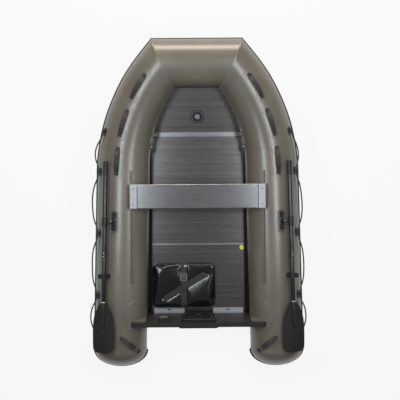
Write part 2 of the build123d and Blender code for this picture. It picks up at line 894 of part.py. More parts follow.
track_run = (track_fore_y - track_aft_y) / cos(radians(slide_angle))
with BuildPart() as bead:
    with BuildSketch(track_plane(track_fore_y)):
        Circle(bead_radius)
        with Locations((0, -bead_height)):
            Rectangle(bead_web, 2 * bead_height)
    extrude(amount=track_run)
    add(clear_tube, mode=Mode.SUBTRACT)
with BuildPart() as seat_track:
    with BuildSketch(Plane.XY.offset(tube_radius)):
        with Locations((track_x, track_mid_y)):
            Rectangle(track_strip, track_fore_y - track_aft_y)
    extrude(amount=tube_radius * 1.2)
    add(fabric_layer.part, mode=Mode.INTERSECT)
    add(bead.part.solids().sort_by(SortBy.VOLUME)[-1])
save_both_sides(seat_track.part, "seat_tracks")

# Seat: a ribbed plank with end caps, on two rails that run on the beads
seat_plane = track_plane(seat_y)
rail_outer = bead_radius + bead_clearance + rail_wall
with BuildPart() as seat_rail:
    with BuildSketch(track_plane(seat_y).offset(-seat_depth / 2)):
        Rectangle(rail_width, 2 * rail_outer)
        Circle(bead_radius + bead_clearance, mode=Mode.SUBTRACT)
        with Locations((0, -rail_outer)):
            Rectangle(rail_slot, 2 * rail_outer, mode=Mode.SUBTRACT)
    extrude(amount=seat_depth)
save_both_sides(seat_rail.part, "seat_rails")

seat_top_plane = Plane(
    origin=(0, seat_y, bead_z(seat_y) + rail_outer / cos(radians(slide_angle))),
    x_dir=(1, 0, 0),
    z_dir=seat_plane.y_dir,
)
plank_half = seat_half_length - cap_length
with BuildPart() as seat_plank:
    with BuildSketch(Plane(origin=seat_top_plane.origin, x_dir=seat_top_plane.y_dir, z_dir=(1, 0, 0))):
        with Locations((0, seat_thickness / 2)):
            RectangleRounded(seat_depth, seat_thickness, seat_corner)
        Rectangle(seat_depth - 2 * seat_wall, 2 * seat_hollow, mode=Mode.SUBTRACT)
        with GridLocations(seat_groove_pitch, 0, seat_grooves, 1):
            with Locations((0, seat_thickness)):
                Rectangle(seat_groove[0], 2 * seat_groove[1], mode=Mode.SUBTRACT)
    extrude(amount=plank_half, both=True)
save(seat_plank.part, "seat_plank")

with BuildPart() as seat_cap:
    cap_root = (plank_half, seat_y, seat_top_plane.origin.Z)
    with BuildSketch(Plane(origin=cap_root, x_dir=seat_top_plane.y_dir, z_dir=(1, 0, 0))):
        with Locations((0, seat_thickness / 2)):
            RectangleRounded(seat_depth, seat_thickness, seat_corner)
    extrude(amount=cap_length)
    fillet(seat_cap.faces().sort_by(Axis.X)[-1].edges(), cap_fillet)
save_both_sides(seat_cap.part, "seat_end_caps")


# Carrying handles: webbing straps that arch between glued patches
def fabric_patch(place, length, width, corner):
    """Patch that follows the tube under a plane on it."""
    with BuildPart() as patch:
        with BuildSketch(place.offset(width / 2)):
            RectangleRounded(width, length, corner)
        extrude(amount=-width)
        add(fabric_layer.part, mode=Mode.INTERSECT)
    return patch.part


def strap_arch(place, length, width, rise, drop):
    """Strap along the plane's y: its ends lie on the tube, drop lower than its middle would, and it arches between."""
    half = length / 2
    crown = half - strap_foot - strap_ramp
    toe_height = -drop
    heel_height = -drop * (1 - strap_foot / half) ** 2
    with BuildPart() as strap:
        with BuildSketch(Plane(origin=place.origin, x_dir=place.y_dir, z_dir=place.x_dir)):
            with BuildLine():
                FilletPolyline(
                    (-half, toe_height),
                    (strap_foot - half, heel_height),
                    (-crown, rise),
                    (crown, rise),
                    (half - strap_foot, heel_height),
                    (half, toe_height),
                    radius=strap_bend,
                )
            trace(line_width=strap_thickness)
        extrude(amount=width / 2, both=True)
    return strap.part


strap_seat = gap + patch_thickness + strap_thickness / 2
handle_stations = [bow_tube_y - setback for setback in handle_setbacks]
with BuildPart() as bow_handles:
    for y in handle_stations:
        place = on_tube(y, handle_angle, strap_seat + handle_lift)
        add(strap_arch(place, handle_length, handle_width, handle_rise, 0.0))
save_twins(bow_handles.part, "bow_handles")

stern_place = on_tube(stern_handle_y, stern_handle_angle, strap_seat + handle_lift)
stern_turned = turned(stern_place, stern_handle_turn)
stern_reach = stern_handle_length / 2 * sin(radians(abs(stern_handle_turn)))
stern_drop = stern_reach**2 / (2 * tube_radius)
with BuildPart() as stern_handle:
    add(strap_arch(stern_turned, stern_handle_length, handle_width, handle_rise, stern_drop))
save_both_sides(stern_handle.part, "stern_handles")

with BuildPart() as handle_patches:
    for y in handle_stations:
        for end in (-1, 1):
            station = y + end * (handle_length / 2 - handle_patch_inset) * cos(heading_at(y))
            place = on_tube(station, handle_angle)
            add(fabric_patch(place, handle_patch_length, handle_patch_width, patch_corner))
    for end in (-1, 1):
        along = end * (stern_handle_length / 2 - handle_patch_inset)
        station = stern_handle_y + along * cos(radians(stern_handle_turn))
        around = degrees(-along * sin(radians(stern_handle_turn)) / tube_radius)
        place = turned(on_tube(station, stern_handle_angle + around), stern_handle_turn)
        add(fabric_patch(place, handle_patch_length, handle_patch_width, patch_corner))
save_both_sides(handle_patches.part, "handle_patches")


# Rowlock bases: patch, windowed plate, boss and pin on each tube
rowlock_place = on_tube(rowlock_y, rowlock_angle)
boss_top = plate_thickness + boss_height
with BuildPart() as rowlock_plate:
    with BuildSketch(rowlock_place.offset(plate_thickness)):
        RectangleRounded(plate_width, plate_length, plate_corner)
    extrude(amount=-3 * plate_thickness)
    add(clear_tube, mode=Mode.SUBTRACT)
    with BuildSketch(rowlock_place.offset(plate_thickness)):
        with GridLocations(*plate_window_pitch, 2, 2):
            RectangleRounded(*plate_window)
    extrude(amount=-plate_window_depth, mode=Mode.SUBTRACT)
    with BuildSketch(rowlock_place.offset(plate_thickness)):
        Circle(boss_radius)
    extrude(amount=boss_height)
    with BuildSketch(rowlock_place.offset(boss_top)):
        Circle(pin_radius)
    extrude(amount=oar_height + pin_end - boss_top)
with BuildPart() as rowlock_base:
    add(fabric_patch(rowlock_place, rowlock_patch_length, rowlock_patch_width, rowlock_patch_corner))
    add(rowlock_plate.part)
save_both_sides(rowlock_base.part, "rowlock_bases")

# Oars, in the rowlock's plane: x outboard, y forward, z up off the tube
oar_plane = rowlock_place.offset(oar_height)


def oar_place(x, y, z=0.0):
    return oar_plane.from_local_coords((x, y, z))


def across_oar(y):
    """Plane across the shaft, y forward of the rowlock's pin: x outboard, z forward."""
    return Plane(origin=oar_place(oar_offset, y), x_dir=oar_plane.x_dir, z_dir=oar_plane.y_dir)


with BuildPart() as rowlock:
    with BuildSketch(oar_plane.offset(boss_top + lug_gap - oar_height)):
        Circle(lug_radius)
    extrude(amount=oar_height + lug_end - boss_top - lug_gap)
    with BuildSketch(Plane(origin=oar_plane.origin, x_dir=oar_plane.y_dir, z_dir=oar_plane.x_dir)):
        Circle(arm_radius)
    extrude(amount=oar_offset)
    with BuildSketch(across_oar(-collar_length / 2)):
        Circle(collar_radius)
    extrude(amount=collar_length)
    for end in (0, -1):
        rim = rowlock.edges().filter_by(GeomType.CIRCLE).sort_by(Axis(oar_plane.origin, oar_plane.y_dir))[end]
        chamfer(rim, collar_chamfer)
    with BuildSketch(across_oar(-collar_length)):
        Circle(shaft_radius)
    extrude(amount=2 * collar_length, mode=Mode.SUBTRACT)
    with BuildSketch(oar_plane.offset(-oar_height)):
        Circle(pin_radius + pin_clearance)
    extrude(amount=2 * oar_height, mode=Mode.SUBTRACT)
save_twins(rowlock.part, "rowlock")

with BuildPart() as oar_shaft:
    with BuildSketch(across_oar(-oar_neck - oar_overlap)):
        Circle(shaft_radius)
    extrude(amount=oar_neck + oar_overlap + oar_fore - grip_length)
    with BuildSketch(across_oar(-stop_distance - stop_length)):
        Circle(shaft_radius + stop_thickness)
    extrude(amount=stop_length)
save_twins(oar_shaft.part, "oar_shaft")

with BuildPart() as oar_grip:
    grip_plane = across_oar(oar_fore - grip_length)
    with BuildSketch(grip_plane):
        Circle(grip_radius)
    extrude(amount=grip_length)
    ends = oar_grip.faces().sort_by(Axis(grip_plane.origin, grip_plane.z_dir))
    fillet(ends[-1].edges(), grip_fillets[0])
    ends = oar_grip.faces().sort_by(Axis(grip_plane.origin, grip_plane.z_dir))
    fillet(ends[0].edges(), grip_fillets[1])
save_twins(oar_grip.part, "oar_grip")

blade_plane = oar_plane.shift_origin(oar_place(oar_offset, 0))


def blade_outline():
    """Blade seen from above: narrow neck, straight sides and round lower corners."""
    half = blade_width / 2
    with BuildSketch() as outline:
        with BuildLine():
            side = [(blade_neck_width / 2, -oar_neck)] + [
                (half - narrower, -oar_neck - aft) for aft, narrower in blade_shoulders[1:]
            ]
            side.append((half - blade_shoulders[0][0], -oar_aft))
            Polyline(*side, *[(-x, y) for x, y in reversed(side)], close=True)
        make_face()
        fillet(vertices().group_by(Axis.Y)[0], blade_corner)
    return outline.sketch


with BuildPart() as oar_blade:
    with BuildSketch(blade_plane.offset(-blade_thickness / 2)):
        add(blade_outline())
    extrude(amount=blade_thickness)
    for face, depth in ((blade_thickness / 2, -blade_pocket), (-blade_thickness / 2, blade_pocket)):
        with BuildSketch(blade_plane.offset(face)):
            add(blade_outline())
            offset(amount=-blade_rim, mode=Mode.REPLACE)
            with Locations((0, -oar_neck)):
                Rectangle(blade_spine, 2 * oar_overlap, mode=Mode.SUBTRACT)
        extrude(amount=depth, mode=Mode.SUBTRACT)
    with BuildSketch(across_oar(-oar_neck - socket_length)):
        Circle(shaft_radius + socket_wall)
    extrude(amount=socket_length)
    with BuildSketch(across_oar(-oar_neck - oar_overlap)):
        Circle(shaft_radius)
    extrude(amount=2 * oar_overlap, mode=Mode.SUBTRACT)
save_twins(oar_blade.part, "oar_blade")

# Oar clips: open outboard, so that the swinging oar leaves and enters them
clip_inner = shaft_radius + clip_clearance
clip_outer = clip_inner + clip_wall
with BuildPart() as oar_clip:
    clip_middle = across_oar(-clip_distance - clip_length / 2)
    with BuildSketch(Plane(origin=clip_middle.origin, x_dir=clip_middle.x_dir, z_dir=-clip_middle.z_dir)):
        Circle(clip_outer)
        Rectangle(clip_outer * 1.6, 2 * clip_outer, align=(Align.MIN, Align.CENTER))
        with Locations((clip_post - clip_outer, 0)):
            Rectangle(clip_post + 4, 2 * oar_height, align=(Align.MAX, Align.MAX))
        Circle(clip_inner, mode=Mode.SUBTRACT)
        Rectangle(clip_outer * 2, 2 * clip_inner, align=(Align.MIN, Align.CENTER), mode=Mode.SUBTRACT)
    extrude(amount=-clip_length)
    add(clear_tube, mode=Mode.SUBTRACT)
save_both_sides(oar_clip.part.solids().sort_by(SortBy.VOLUME)[-1], "oar_clips")

# Line eyes: block with a rounded top and a hole, on a glued patch
def line_eye(place):
    with BuildPart() as eye:
        with BuildSketch(Plane(origin=place.origin, x_dir=place.x_dir, z_dir=-place.y_dir)):
            with Locations((0, eye_height)):
                Circle(eye_radius)
            Rectangle(2 * eye_radius, 2 * eye_height)
            with Locations((0, eye_height)):
                Circle(eye_hole_radius, mode=Mode.SUBTRACT)
        extrude(amount=eye_length / 2, both=True)
        add(clear_tube, mode=Mode.SUBTRACT)
    return eye.part


eye_stations = [bow_tube_y - setback for setback in eye_bow_setbacks]
eye_stations += [cone_y + setback for setback in eye_stern_setbacks]
with BuildPart() as line_eyes:
    for y in eye_stations:
        place = on_tube(y, line_eye_angle)
        add(fabric_patch(place, *eye_patch, patch_corner))
        add(line_eye(place))
save_both_sides(line_eyes.part, "line_eyes")

# Grab lines: through the eyes, hanging over the rub strake between them, with a knot at each end
starboard_route = [
    (674, 536, 321),
    (686, 488, 315),
    (713, 439, 288),
    (733, 385, 264),
    (734, 324, 270),
    (714, 273, 301),
    (716, 204, 298),
    (744, 135, 263),
    (761, 45, 224),
    (766, -45, 213),
    (753, -115, 252),
    (725, -173, 298),
    (726, -243, 298),
    (757, -315, 256),
    (772, -395, 216),
    (776, -480, 205),
    (766, -555, 245),
    (735, -621, 298),
    (737, -691, 298),
    (774, -747, 238),
    (790, -813, 198),
    (785, -862, 220),
    (762, -905, 262),
    (743, -944, 297),
    (743, -982, 298),
]
port_route = [
    (-674, 536, 321),
    (-686, 488, 315),
    (-724, 439, 272),
    (-748, 383, 237),
    (-740, 321, 260),
    (-714, 273, 301),
    (-716, 204, 298),
    (-754, 133, 258),
    (-771, 49, 234),
    (-772, -40, 206),
    (-758, -113, 250),
    (-725, -173, 298),
    (-726, -243, 298),
    (-762, -313, 249),
    (-777, -393, 209),
    (-778, -473, 202),
    (-769, -557, 242),
    (-735, -621, 298),
    (-737, -691, 298),
    (-774, -745, 242),
    (-792, -807, 206),
    (-788, -858, 222),
    (-764, -903, 262),
    (-743, -944, 297),
    (-743, -982, 298),
]


def bend_radii(route):
    """Largest arc at each corner: 0.45 of the shorter run over the tangent of half the turn."""
    radii = []
    for before, corner, after in zip(route, route[1:], route[2:]):
        run_in = Vector(corner) - Vector(before)
        run_out = Vector(after) - Vector(corner)
        half_turn = radians(run_in.get_angle(run_out)) / 2
        radii.append(0.45 * min(run_in.length, run_out.length) / tan(half_turn))
    return radii


for side, route in (("starboard", starboard_route), ("port", port_route)):
    radii = bend_radii(route)
    with BuildPart() as knots:
        for end, inner in ((route[0], route[1]), (route[-1], route[-2])):
            outwards = (Vector(end) - Vector(inner)).normalized()
            with Locations(Plane(origin=Vector(end) + outwards * knot_reach, z_dir=outwards)):
                Sphere(knot_radius)
    save(knots.part, f"{side}_line_knots")
    with BuildPart() as grab_line:
        with BuildLine() as line_path:
            FilletPolyline(*route, radius=radii)
        with BuildSketch(Plane(origin=route[0], z_dir=line_path.wires()[0] % 0)):
            Circle(line_radius)
        sweep()
        length = line_path.wires()[0].length
        print(side, "line length", round(length), "tube volume over section times length",
              round(grab_line.part.volume / (pi * line_radius**2 * length), 4))
        add(knots.part, mode=Mode.SUBTRACT)
    save(grab_line.part.solids().sort_by(SortBy.VOLUME)[-1], f"{side}_grab_line")
    print(side, "line radii", [round(radius) for radius in radii])

# Inflation valves on the tubes' inner sides
with BuildPart() as inflation_valves:
    for setback, angle in tube_valves:
        place = on_tube(bow_tube_y - setback, angle)
        with BuildSketch(place.offset(-tube_valve_sink)):
            Circle(tube_valve_radius)
        extrude(amount=2 * tube_valve_sink)
        with BuildSketch(place.offset(tube_valve_sink)):
            Circle(tube_valve_radius - tube_valve_flange)
        extrude(amount=tube_valve_cap)
    add(clear_tube, mode=Mode.SUBTRACT)
save_both_sides(inflation_valves.part, "inflation_valves")

# Tow eye under the bow: patch, lug and ring
tow = radians(tow_angle)
tow_plane = Plane(
    origin=(0, bow_tube_y + (bow_radius + gap) * cos(tow), bow_tube_z - (bow_radius + gap) * sin(tow)),
    x_dir=(1, 0, 0),
    z_dir=(0, cos(tow), -sin(tow)),
)
with BuildPart() as tow_eye:
    with BuildSketch(tow_plane.offset(patch_thickness)):
        Circle(tow_patch_radius)
    extrude(amount=-tow_patch_radius / 3)
    with BuildSketch(tow_plane):
        RectangleRounded(*tow_lug[:2], tow_lug_corner)
    extrude(amount=tow_lug[2])
    add(clear_bow, mode=Mode.SUBTRACT)
    ring_centre = tow_plane.origin + tow_plane.z_dir * (tow_lug[2] + tow_ring_radius - tow_ring_bar)
    with BuildSketch(Plane(origin=ring_centre, x_dir=tow_plane.y_dir, z_dir=(1, 0, 0))):
        Circle(tow_ring_radius + tow_ring_bar)
        Circle(tow_ring_radius - tow_ring_bar, mode=Mode.SUBTRACT)
    extrude(amount=tow_ring_bar, both=True)
save(tow_eye.part.solids().sort_by(SortBy.VOLUME)[-1], "tow_eye")


# Battery bag on the aft board, with its webbing
def bag_form(growth):
    """The bag's rounded box, grown on all sides but the one it lies on."""
    with BuildPart() as form:
        with BuildSketch(Plane.XY.offset(floor_height + gap)):
            with Locations((bag_x, bag_y)):
                RectangleRounded(bag_width + 2 * growth, bag_depth + 2 * growth, bag_corner + growth)
        extrude(amount=bag_height + growth)
        fillet(form.faces().sort_by(Axis.Z)[-1].edges(), bag_fillet + growth)
    return form.part


save(bag_form(0.0), "battery_bag")
web_x = bag_x + web_offset
diagonal_place = (bag_x + diagonal_offset[0], bag_y + diagonal_offset[1], 0)
with BuildPart() as bag_straps:
    with BuildSketch(Plane.XY.offset(floor_height)):
        with Locations((web_x, bag_y)):
            Rectangle(web_width, 2 * bag_depth)
        with Locations(Location(diagonal_place, (0, 0, diagonal_turn))):
            Rectangle(diagonal_length, diagonal_width)
    extrude(amount=3 * bag_height)
    add(bag_form(gap + web_thickness), mode=Mode.INTERSECT)
    add(bag_form(gap), mode=Mode.SUBTRACT)
save(bag_straps.part, "bag_straps")

print("rowlock pin", rowlock_place.origin, "axis", rowlock_place.z_dir, "along", rowlock_place.y_dir)
print("slide axis", slide_direction)
print("tow ring", ring_centre)
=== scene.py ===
"""Looks of a small inflatable tender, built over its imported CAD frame.

Metres, in the frame's own axes: +Y is the bow, +X starboard, +Z up.
"""

import math
from contextlib import contextmanager

import bmesh
import bpy
from mathutils import Euler, Matrix, Vector


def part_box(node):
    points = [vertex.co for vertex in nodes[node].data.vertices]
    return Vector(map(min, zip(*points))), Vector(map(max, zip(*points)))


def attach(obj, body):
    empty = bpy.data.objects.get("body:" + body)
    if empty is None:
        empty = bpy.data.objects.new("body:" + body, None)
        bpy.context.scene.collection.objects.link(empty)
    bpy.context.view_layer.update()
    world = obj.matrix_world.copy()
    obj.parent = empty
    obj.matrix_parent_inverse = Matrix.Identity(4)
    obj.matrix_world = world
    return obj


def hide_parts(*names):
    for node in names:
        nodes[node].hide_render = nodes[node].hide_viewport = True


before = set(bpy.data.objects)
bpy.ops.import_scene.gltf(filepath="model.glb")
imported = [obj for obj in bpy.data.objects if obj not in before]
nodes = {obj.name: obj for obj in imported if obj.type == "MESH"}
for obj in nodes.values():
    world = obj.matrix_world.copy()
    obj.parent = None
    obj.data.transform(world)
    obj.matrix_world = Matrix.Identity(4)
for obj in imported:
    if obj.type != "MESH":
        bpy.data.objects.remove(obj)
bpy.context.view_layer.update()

# ---------------------------------------------------------------- sizes
tube_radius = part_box("stern_cones")[1].z / 2
floor_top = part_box("middle_floor_board")[1].z
line_radius = 0.005
knot_radius = 0.010

# ---------------------------------------------------------------- camera
camera_height = 6.0
view_width = 2.944
sensor_width = 36.0
camera_roll = math.radians(-0.39)
camera_data = bpy.data.cameras.new("camera")
camera_data.sensor_width = sensor_width
camera_data.lens = sensor_width * camera_height / view_width
camera = bpy.data.objects.new("camera", camera_data)
camera.location = (0.0163, 0.0280, camera_height + tube_radius)
camera.rotation_euler = (0, 0, camera_roll)
bpy.context.scene.collection.objects.link(camera)
bpy.context.scene.camera = camera


# ---------------------------------------------------------------- modelling by hand
def alone(piece):
    """Only this piece is selected, and it is active."""
    if bpy.context.object and bpy.context.object.mode != "OBJECT":
        bpy.ops.object.mode_set(mode="OBJECT")
    bpy.ops.object.select_all(action="DESELECT")
    if piece:
        piece.select_set(True)
        bpy.context.view_layer.objects.active = piece


def primitive(name, add, **settings):
    """A primitive with its place in its mesh."""
    alone(None)
    add(**settings)
    piece = bpy.context.object
    piece.name = name
    bpy.ops.object.transform_apply(location=True, rotation=True, scale=True)
    return piece


def cylinder(name, radius, depth, vertices, location=(0, 0, 0), **settings):
    add = bpy.ops.mesh.primitive_cylinder_add
    return primitive(name, add, radius=radius, depth=depth, vertices=vertices, location=location, **settings)


def torus(name, radii, segments, **settings):
    """Ring: the radius and the segments around it come first, then those of its section."""
    return primitive(
        name,
        bpy.ops.mesh.primitive_torus_add,
        major_radius=radii[0],
        minor_radius=radii[1],
        major_segments=segments[0],
        minor_segments=segments[1],
        **settings,
    )


def sized(piece, size, place=Matrix()):
    """Draws a piece that is one metre wide to its size, and puts it in its place."""
    piece.data.transform(place @ Matrix.Diagonal((*size, 1)))
    return piece


def plane(name, width, length, place=Matrix()):
    return sized(primitive(name, bpy.ops.mesh.primitive_plane_add, size=1), (width, length, 1), place)


def grid(name, columns, rows, width=1, length=1, place=Matrix()):
    add = bpy.ops.mesh.primitive_grid_add
    piece = primitive(name, add, x_subdivisions=columns, y_subdivisions=rows, size=1)
    return sized(piece, (width, length, 1), place)


def cube(name, size, place=Matrix()):
    return sized(primitive(name, bpy.ops.mesh.primitive_cube_add, size=1), size, place)


@contextmanager
def shaping(piece, test, elements="FACE"):
    """Edit mode on one piece, with only the elements picked whose middle passes the test."""
    alone(piece)
    bpy.ops.object.mode_set(mode="EDIT")
    bpy.ops.mesh.select_mode(type=elements)
    bpy.ops.mesh.select_all(action="DESELECT")
    mesh = bmesh.from_edit_mesh(piece.data)
    for element in {"VERT": mesh.verts, "EDGE": mesh.edges, "FACE": mesh.faces}[elements]:
        if elements == "VERT":
            middle = element.co
        elif elements == "EDGE":
            middle = (element.verts[0].co + element.verts[1].co) / 2
        else:
            middle = element.calc_center_median()
        if test(middle, element):
            element.select_set(True)
    mesh.select_flush_mode()
    bmesh.update_edit_mesh(piece.data)
    yield
    bpy.ops.object.mode_set(mode="OBJECT")


def everything(_, element):
    return True


def top_face(_, face):
    return face.normal.z > 0.9


def span(edge, axis):
    """How far an edge reaches along an axis, from 0 for X to 2 for Z."""
    return abs(edge.verts[0].co[axis] - edge.verts[1].co[axis])


def extrude(*move):
    bpy.ops.mesh.extrude_region_move(TRANSFORM_OT_translate={"value": move})


def inset(thickness, lift=0.0):
    """Insets the picked faces, and lifts or sinks what is inside."""
    bpy.ops.mesh.inset(thickness=thickness)
    if lift:
        bpy.ops.transform.translate(value=(0, 0, lift))


def applied(piece, kind, **settings):
    """Adds a modifier and applies it."""
    modifier = piece.modifiers.new(kind.title(), kind)
    for setting, value in settings.items():
        setattr(modifier, setting, value)
    alone(piece)
    bpy.ops.object.modifier_apply(modifier=modifier.name)
    return piece


def rounded(piece, width, segments=2, angle=50):
    """Rounds the edges that turn by more than the angle."""
    limit = math.radians(angle)
    return applied(piece, "BEVEL", width=width, segments=segments, limit_method="ANGLE", angle_limit=limit)


def thickened(piece, thickness, offset=1.0):
    return applied(piece, "SOLIDIFY", thickness=thickness, offset=offset)


def divided(piece, levels=1, kind="CATMULL_CLARK"):
    return applied(piece, "SUBSURF", levels=levels, render_levels=levels, subdivision_type=kind)


def laid_on(piece, target, height):
    """Draws every point to the target's nearest place, at a height above it."""
    method, mode = "NEAREST_SURFACEPOINT", "ABOVE_SURFACE"
    return applied(piece, "SHRINKWRAP", target=target, wrap_method=method, wrap_mode=mode, offset=height)


def evened(piece, iterations):
    """Smooths heights alone."""
    return applied(piece, "SMOOTH", factor=0.5, iterations=iterations, use_x=False, use_y=False)


def smooth(piece, angle=40):
    alone(piece)
    bpy.ops.object.shade_smooth_by_angle(angle=math.radians(angle))
    return piece


def moved_copy(piece, name, matrix):
    """A copy with its own mesh, put in its place; a mirrored one keeps its faces outwards."""
    copy = piece.copy()
    copy.data = piece.data.copy()
    copy.name = name
    bpy.context.scene.collection.objects.link(copy)
    copy.data.transform(matrix)
    if matrix.determinant() < 0:
        copy.data.flip_normals()
    return copy


def joined(name, pieces):
    alone(pieces[0])
    for piece in pieces:
        piece.select_set(True)
    bpy.ops.object.join()
    bpy.context.object.name = name
    return bpy.context.object


to_port = Matrix.Scale(-1, 4, (1, 0, 0))


def at(x, y, z):
    return Matrix.Translation((x, y, z))


def port_twin(piece, name):
    return moved_copy(piece, name, to_port)


def place_matrix(origin, x_axis, y_axis, z_axis):
    """Matrix that carries a piece modelled at the origin to its place."""
    matrix = Matrix((x_axis, y_axis, z_axis)).transposed().to_4x4()
    matrix.translation = origin
    return matrix


def dress(piece, material, body="root", replaces=()):
    piece.data.materials.clear()
    piece.data.materials.append(material)
    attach(piece, body)
    if replaces:
        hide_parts(*replaces)
    return piece


# ---------------------------------------------------------------- effects shared by the materials
def node(tree, kind, **settings):
    made = tree.nodes.new(kind)
    for setting, value in settings.items():
        if setting in made.inputs:
            made.inputs[setting].default_value = value
        else:
            setattr(made, setting, value)
    return made


def reckoned(tree, operation, *values, clamp=False):
    """Math node; each value is a number, or the socket that gives it."""
    made = node(tree, "ShaderNodeMath", operation=operation, use_clamp=clamp)
    for socket, value in zip(made.inputs, values):
        if isinstance(value, float):
            socket.default_value = value
        else:
            tree.links.new(value, socket)
    return made.outputs[0]


class Effect:
    """A shader group under construction, with a vector and named values in and named values out."""

    def __init__(self, name, inputs, outputs):
        self.tree = bpy.data.node_groups.new(name, "ShaderNodeTree")
        sockets = self.tree.interface
        sockets.new_socket("Vector", in_out="INPUT", socket_type="NodeSocketVector")
        for socket, default in inputs.items():
            sockets.new_socket(socket, in_out="INPUT", socket_type="NodeSocketFloat").default_value = default
        for socket in outputs:
            sockets.new_socket(socket, in_out="OUTPUT", socket_type="NodeSocketFloat")
        self.given = self.tree.nodes.new("NodeGroupInput").outputs
        self.out = self.tree.nodes.new("NodeGroupOutput").inputs

    def noise(self, vector=None, scale=None, **settings):
        """Noise over the vector, its scale a number among the settings or a socket."""
        made = node(self.tree, "ShaderNodeTexNoise", **settings)
        self.tree.links.new(vector or self.given["Vector"], made.inputs["Vector"])
        if scale:
            self.tree.links.new(scale, made.inputs["Scale"])
        return made.outputs["Fac"]

    def times(self, *values):
        return reckoned(self.tree, "MULTIPLY", *values)

    def split(self):
        made = node(self.tree, "ShaderNodeSeparateXYZ")
        self.tree.links.new(self.given["Vector"], made.inputs[0])
        return made.outputs

    def gives(self, **values):
        for socket, value in values.items():
            self.tree.links.new(value, self.out[socket])
        return self.tree


def coated_fabric_effect():
    """Fine cloth grain under the coat, and slow unevenness of the air-filled skin and its tone."""
    made = Effect("coated_fabric", {"Grain": 0.12, "Waves": 0.5}, ("Height", "Tone"))
    fine = made.times(made.noise(Scale=1400.0, Detail=2.0), made.given["Grain"])
    slow = made.times(made.noise(Scale=7.0, Detail=1.0), made.given["Waves"])
    tone = made.noise(Scale=3.5, Detail=2.5, Roughness=0.45)
    return made.gives(Height=reckoned(made.tree, "ADD", fine, slow), Tone=tone)


def brushed_metal_effect():
    """Long fine scratches of a brushed or extruded metal face, along X of the vector."""
    made = Effect("brushed_metal", {"Length": 6.0, "Fineness": 900.0}, ("Height", "Streak", "Smudge"))
    parts, stretched = made.split(), node(made.tree, "ShaderNodeCombineXYZ")
    for axis, pitch in (("X", "Length"), ("Y", "Fineness"), ("Z", "Fineness")):
        made.tree.links.new(made.times(parts[axis], made.given[pitch]), stretched.inputs[axis])
    streak = made.noise(stretched.outputs[0], Scale=1.0, Detail=3.0)
    return made.gives(Height=streak, Streak=streak, Smudge=made.noise(Scale=6.0, Detail=5.0))


def weave_effect():
    """Crossing yarns: warp along X of the vector, weft along Y, with the pitch in yarns per metre."""
    made = Effect("weave", {"Warp": 700.0, "Weft": 500.0}, ("Height", "Shade"))
    parts, waves = made.split(), []
    for axis, pitch in (("Y", "Warp"), ("X", "Weft")):
        turns = made.times(parts[axis], made.given[pitch])
        waves.append(reckoned(made.tree, "SINE", made.times(turns, math.tau)))
    height = reckoned(made.tree, "MULTIPLY_ADD", made.times(*waves), 0.5, 0.5)
    # The colour mask is the yarns' height times random tone: painted shade, darker in the hollows between the
    # yarns.
    return made.gives(Height=height, Shade=made.times(height, made.noise(Scale=260.0, Detail=3.0)))


def moulded_grain_effect():
    """Spark-eroded grain and faint handling marks of a moulded plastic or rubber."""
    made = Effect("moulded_grain", {"Grain": 900.0, "Marks": 26.0}, ("Height", "Mark"))
    grain = made.noise(scale=made.given["Grain"], Detail=4.0)
    return made.gives(Height=grain, Mark=made.noise(scale=made.given["Marks"], Detail=7.0, Roughness=0.65))


coated_fabric = coated_fabric_effect()
brushed_metal = brushed_metal_effect()
weave = weave_effect()
moulded_grain = moulded_grain_effect()


# ---------------------------------------------------------------- materials
class Finish:
    """A material under construction: its shader, and the nodes that feed it."""

    def __init__(self, name, metallic=0.0, roughness=0.5, **plain):
        self.material = bpy.data.materials.new(name)
        self.material.use_nodes = True
        self.tree = self.material.node_tree
        self.shader = self.tree.nodes["Principled BSDF"]
        self.shader.inputs["Metallic"].default_value = metallic
        self.shader.inputs["Roughness"].default_value = roughness
        for socket, value in plain.items():
            self.shader.inputs[socket.replace("_", " ")].default_value = value
        self.place = self.tree.nodes.new("ShaderNodeTexCoord").outputs["Object"]

    def by_uv(self):
        self.place = self.place.node.outputs["UV"]

    def turned(self, rotation):
        """Turns the pattern on the piece."""
        mapping = node(self.tree, "ShaderNodeMapping", Rotation=rotation)
        self.tree.links.new(self.place, mapping.inputs["Vector"])
        self.place = mapping.outputs["Vector"]

    def effect(self, tree, **values):
        made = node(self.tree, "ShaderNodeGroup", node_tree=tree)
        for socket, value in values.items():
            made.inputs[socket].default_value = value
        self.tree.links.new(self.place, made.inputs["Vector"])
        return made.outputs

    def colour(self, mask, low, high, edge=(0.3, 0.7)):
        """Base colour between two tones, by a mask."""
        ramp = self.tree.nodes.new("ShaderNodeValToRGB")
        for stop, position, tone in zip(ramp.color_ramp.elements, edge, (low, high)):
            stop.position = position
            stop.color = (*tone, 1)
        self.tree.links.new(mask, ramp.inputs["Fac"])
        self.tree.links.new(ramp.outputs["Color"], self.shader.inputs["Base Color"])

    def rough(self, mask, low, high):
        """Roughness between two values, by a mask."""
        spread = self.tree.nodes.new("ShaderNodeMapRange")
        for socket, value in (("From Min", 0.3), ("From Max", 0.7), ("To Min", low), ("To Max", high)):
            spread.inputs[socket].default_value = value
        self.tree.links.new(mask, spread.inputs["Value"])
        self.tree.links.new(spread.outputs["Result"], self.shader.inputs["Roughness"])

    def bump(self, height, depth):
        """Relief of a depth in metres, over what is there already."""
        made = node(self.tree, "ShaderNodeBump", Strength=1.0, Distance=depth)
        normal = self.shader.inputs["Normal"]
        if normal.links:
            self.tree.links.new(normal.links[0].from_socket, made.inputs["Normal"])
        self.tree.links.new(height, made.inputs["Height"])
        self.tree.links.new(made.outputs["Normal"], normal)


def coated(name, low, high, roughness, waves=0.0):
    made = Finish(name, Specular_IOR_Level=0.75)
    skin = made.effect(coated_fabric, Waves=waves)
    made.colour(skin["Tone"], low, high)
    made.rough(skin["Tone"], *roughness)
    made.bump(skin["Height"], 0.0004)
    return made.material


